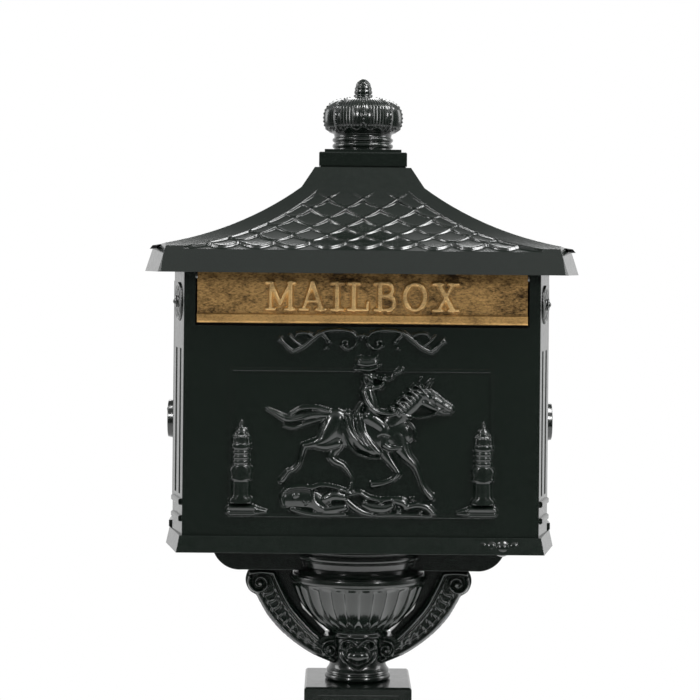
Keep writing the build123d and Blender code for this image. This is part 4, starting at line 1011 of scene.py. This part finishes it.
def glyphs():
    """Plain slab letters, drawn as bars: width, then lists of (half thickness, points)."""
    serif = lambda x0, x1, z: (SERIF, [(x0, z), (x1, z)])
    return {
        "M": (29, [
            (THIN, [(5, LOW), (5, HIGH)]), (THICK, [(24, LOW), (24, HIGH)]),
            (2.2, [(5, HIGH), (14.2, 7)]), (1.7, [(14.2, 7), (24, HIGH)]), serif(1, 9, LOW),
            serif(19, 28, LOW), serif(1, 7, HIGH), serif(22, 28, HIGH),
        ]),
        "A": (27, [
            (THIN, [(12.5, HIGH), (4.5, LOW)]), (THICK, [(13, HIGH), (21.5, LOW)]),
            (1.3, [(7.5, 9.5), (18.5, 9.5)]), serif(1, 8.5, LOW), serif(17, 26, LOW),
        ]),
        "I": (13, [(THICK, [(6.5, LOW), (6.5, HIGH)]), serif(1, 12, LOW), serif(1, 12, HIGH)]),
        "L": (22, [
            (THICK, [(6.5, LOW), (6.5, HIGH)]), serif(1, 12, HIGH), serif(1, 20, LOW),
            (THIN, [(19.5, LOW), (19.8, 8.5)]),
        ]),
        "B": (24, [
            (THICK, [(6.5, LOW), (6.5, HIGH)]), (SERIF, [(1.5, HIGH), (13, HIGH)]),
            (SERIF, [(1.5, LOW), (14, LOW)]), (1.4, [(6.5, 15), (14, 15)]),
            (2.1, arc_line(13, 21.2, 5.6, 6.0, 88, -88)), (2.4, arc_line(14, 8.2, 6.4, 6.8, 88, -88)),
        ]),
        "O": (26, [
            (1.7, arc_line(13, 14.25, 9.8, 12.6, 40, 140)),
            (2.7, arc_line(13, 14.25, 9.8, 12.6, 130, 230)),
            (1.7, arc_line(13, 14.25, 9.8, 12.6, 220, 320)),
            (2.7, arc_line(13, 14.25, 9.8, 12.6, -50, 50)),
        ]),
        "X": (27, [
            (THICK, [(6.5, HIGH), (20.5, LOW)]), (THIN, [(20.5, HIGH), (6.5, LOW)]),
            serif(1.5, 10.5, HIGH), serif(16.5, 25.5, HIGH), serif(1.5, 10.5, LOW),
            serif(16.5, 25.5, LOW),
        ]),
    }


def make_lettering(word, gap, middle_z, face_y):
    shapes = glyphs()
    total = sum(shapes[c][0] for c in word) + gap * (len(word) - 1)
    f = Relief(-total / 2 - 2, total / 2 + 2, -2, TALL + 2, 0.5)
    x = -total / 2
    for c in word:
        wide, bars = shapes[c]
        for half, line in bars:
            f.bar(*[(x + a, b, half + LETTER_SPREAD, LETTER_PROUD) for a, b in line], bevel=LETTER_BEVEL)
        x += wide + gap
    f.soften(1)
    place = plane_place((0, face_y, middle_z - TALL / 2), (0, -1, 0))
    add_piece("flap_lettering", *f.parts(place), BRONZE_LIGHT, body="flap", slot="antique_bronze", crease=50)


make_lettering("MAILBOX", 3.2, 949.8, -124.5)


# ---------------------------------------------------------------- side castings
STRIP_MIDDLE = np.array([178.4, -97.5])
STRIP_NORMAL = np.array([55.0, -13.2]) / math.hypot(55.0, 13.2)
ROSETTE_Z = 943.0


def rosette_field():
    f = Relief(-19, 19, -19, 19, 0.6)
    distance = np.hypot(f.A, f.B)
    angle = np.arctan2(f.B, f.A)
    petal = np.abs(np.cos(4 * angle))
    f.h = np.clip(
        1 - (distance / (12.0 + 3.6 * petal)) ** 4, 0, 1,
    ) ** 0.5 * (0.5 + 1.0 * petal * np.clip(distance / 11, 0, 1))
    f.h = np.maximum(f.h, 0.9 * np.exp(-(((distance - 17.0) / 1.2) ** 2)) * (distance < 18.6))
    f.h = np.maximum(f.h, 3.6 * np.clip(1 - (distance / 8.0) ** 2, 0, 1) ** 0.8)
    f.h = np.maximum(f.h, 5.2 * np.clip(1 - (distance / 4.2) ** 2, 0, 1) ** 0.6)
    return f.soften(1)


def make_rosettes():
    parts = []
    for sx in (-1, 1):
        for sy in (-1, 1):
            normal = np.array([sx * STRIP_NORMAL[0], -sy * STRIP_NORMAL[1], 0])
            origin = np.array([sx * STRIP_MIDDLE[0], -sy * STRIP_MIDDLE[1], ROSETTE_Z]) + normal * 1.0
            parts.append(rosette_field().parts(plane_place(origin, normal), sink=0.6))
    verts, faces = merge(parts)
    add_piece("strip_rosettes", verts, faces)


make_rosettes()


def line_frame(half_a, b0, b1, radius, height):
    f = Relief(-half_a - 4, half_a + 4, b0 - 4, b1 + 4, 0.8)
    corners = [(-half_a, b0), (half_a, b0), (half_a, b1), (-half_a, b1), (-half_a, b0)]
    f.roll(*[(a, b, radius, height) for a, b in corners], smooth=False)
    return f


def emblem_field():
    """A coiled post horn in an oval rim."""
    f = Relief(-18, 18, -22, 22, 0.5)
    turn = np.linspace(0, math.tau, 60)
    f.roll(*[(12.8 * math.cos(t), 16.8 * math.sin(t), 1.3, 0.9) for t in turn], smooth=False)
    horn = [
        (-13, 13, 1.2, 1.0), (-8, 9, 1.3, 1.1), (4, 9, 1.6, 1.2), (11, 3, 1.8, 1.3), (8, -7, 2.0, 1.4),
        (-3, -10, 2.2, 1.4), (-10, -3, 2.3, 1.4), (-6, 5, 2.5, 1.4), (5, 8, 2.9, 1.5), (14, 14, 4.4, 1.5),
    ]
    f.roll(*[(0.66 * a, 0.72 * b, 0.6 * r, h) for a, b, r, h in horn])
    return f.soften(1)


def spray_field():
    f = Relief(-44, 44, -48, 48, 0.7)
    for m in (-1, 1):
        stem = flow([(0, -40), (m * 17, -36), (m * 29, -20), (m * 33, 0), (m * 29, 20)], 8)
        f.roll(*with_size(stem, (1.6, 0.9), (2.4, 1.8)), smooth=False)
        for k in range(2, len(stem) - 2, 4):
            at, ahead = stem[k], stem[k + 2] - stem[k]
            ahead = ahead / np.hypot(*ahead)
            for s in (-1, 1):
                side = np.array([-ahead[1], ahead[0]]) * s
                tip = at + ahead * 8 + side * 6.5
                half = at + ahead * 4.5 + side * 4.4
                f.roll((*at, 0.9, 1.8), (*half, 2.1, 3.0), (*tip, 0.7, 1.6))
    return f.soften(1)


SIDE_FACE, EMBLEM_FACE, EMBLEM_Z = 185.0, 194.6, 822


def make_sides():
    for sx, name in ((-1, "left"), (1, "right")):
        face = plane_place((sx * SIDE_FACE, 0, 0), (sx, 0, 0))
        proud = plane_place((sx * EMBLEM_FACE, 0, EMBLEM_Z), (sx, 0, 0))
        leaf = plane_place((sx * SIDE_FACE, 0, EMBLEM_Z), (sx, 0, 0))
        parts = [
            line_frame(55, 746, 962, 1.5, 1.6).parts(face),
            line_frame(50, 751, 957, 1.1, 1.2).parts(face),
            spray_field().parts(leaf),
            emblem_field().parts(proud, sink=0.8),
        ]
        add_piece("side_relief_" + name, *merge(parts))


make_sides()

# ---------------------------------------------------------------- floor
FLOOR_R, FLOOR_SIDES, FLOOR_Z = 2.0, 64, -0.0005
floor_data = bpy.data.meshes.new("studio_floor")
turns = [k * math.tau / FLOOR_SIDES for k in range(FLOOR_SIDES)]
rim = [(FLOOR_R * math.cos(t), FLOOR_R * math.sin(t), FLOOR_Z) for t in turns]
floor_data.from_pydata(rim, [], [tuple(range(FLOOR_SIDES))])
floor = bpy.data.objects.new("studio_floor", floor_data)
bpy.context.scene.collection.objects.link(floor)
floor_data.materials.append(floor_material())
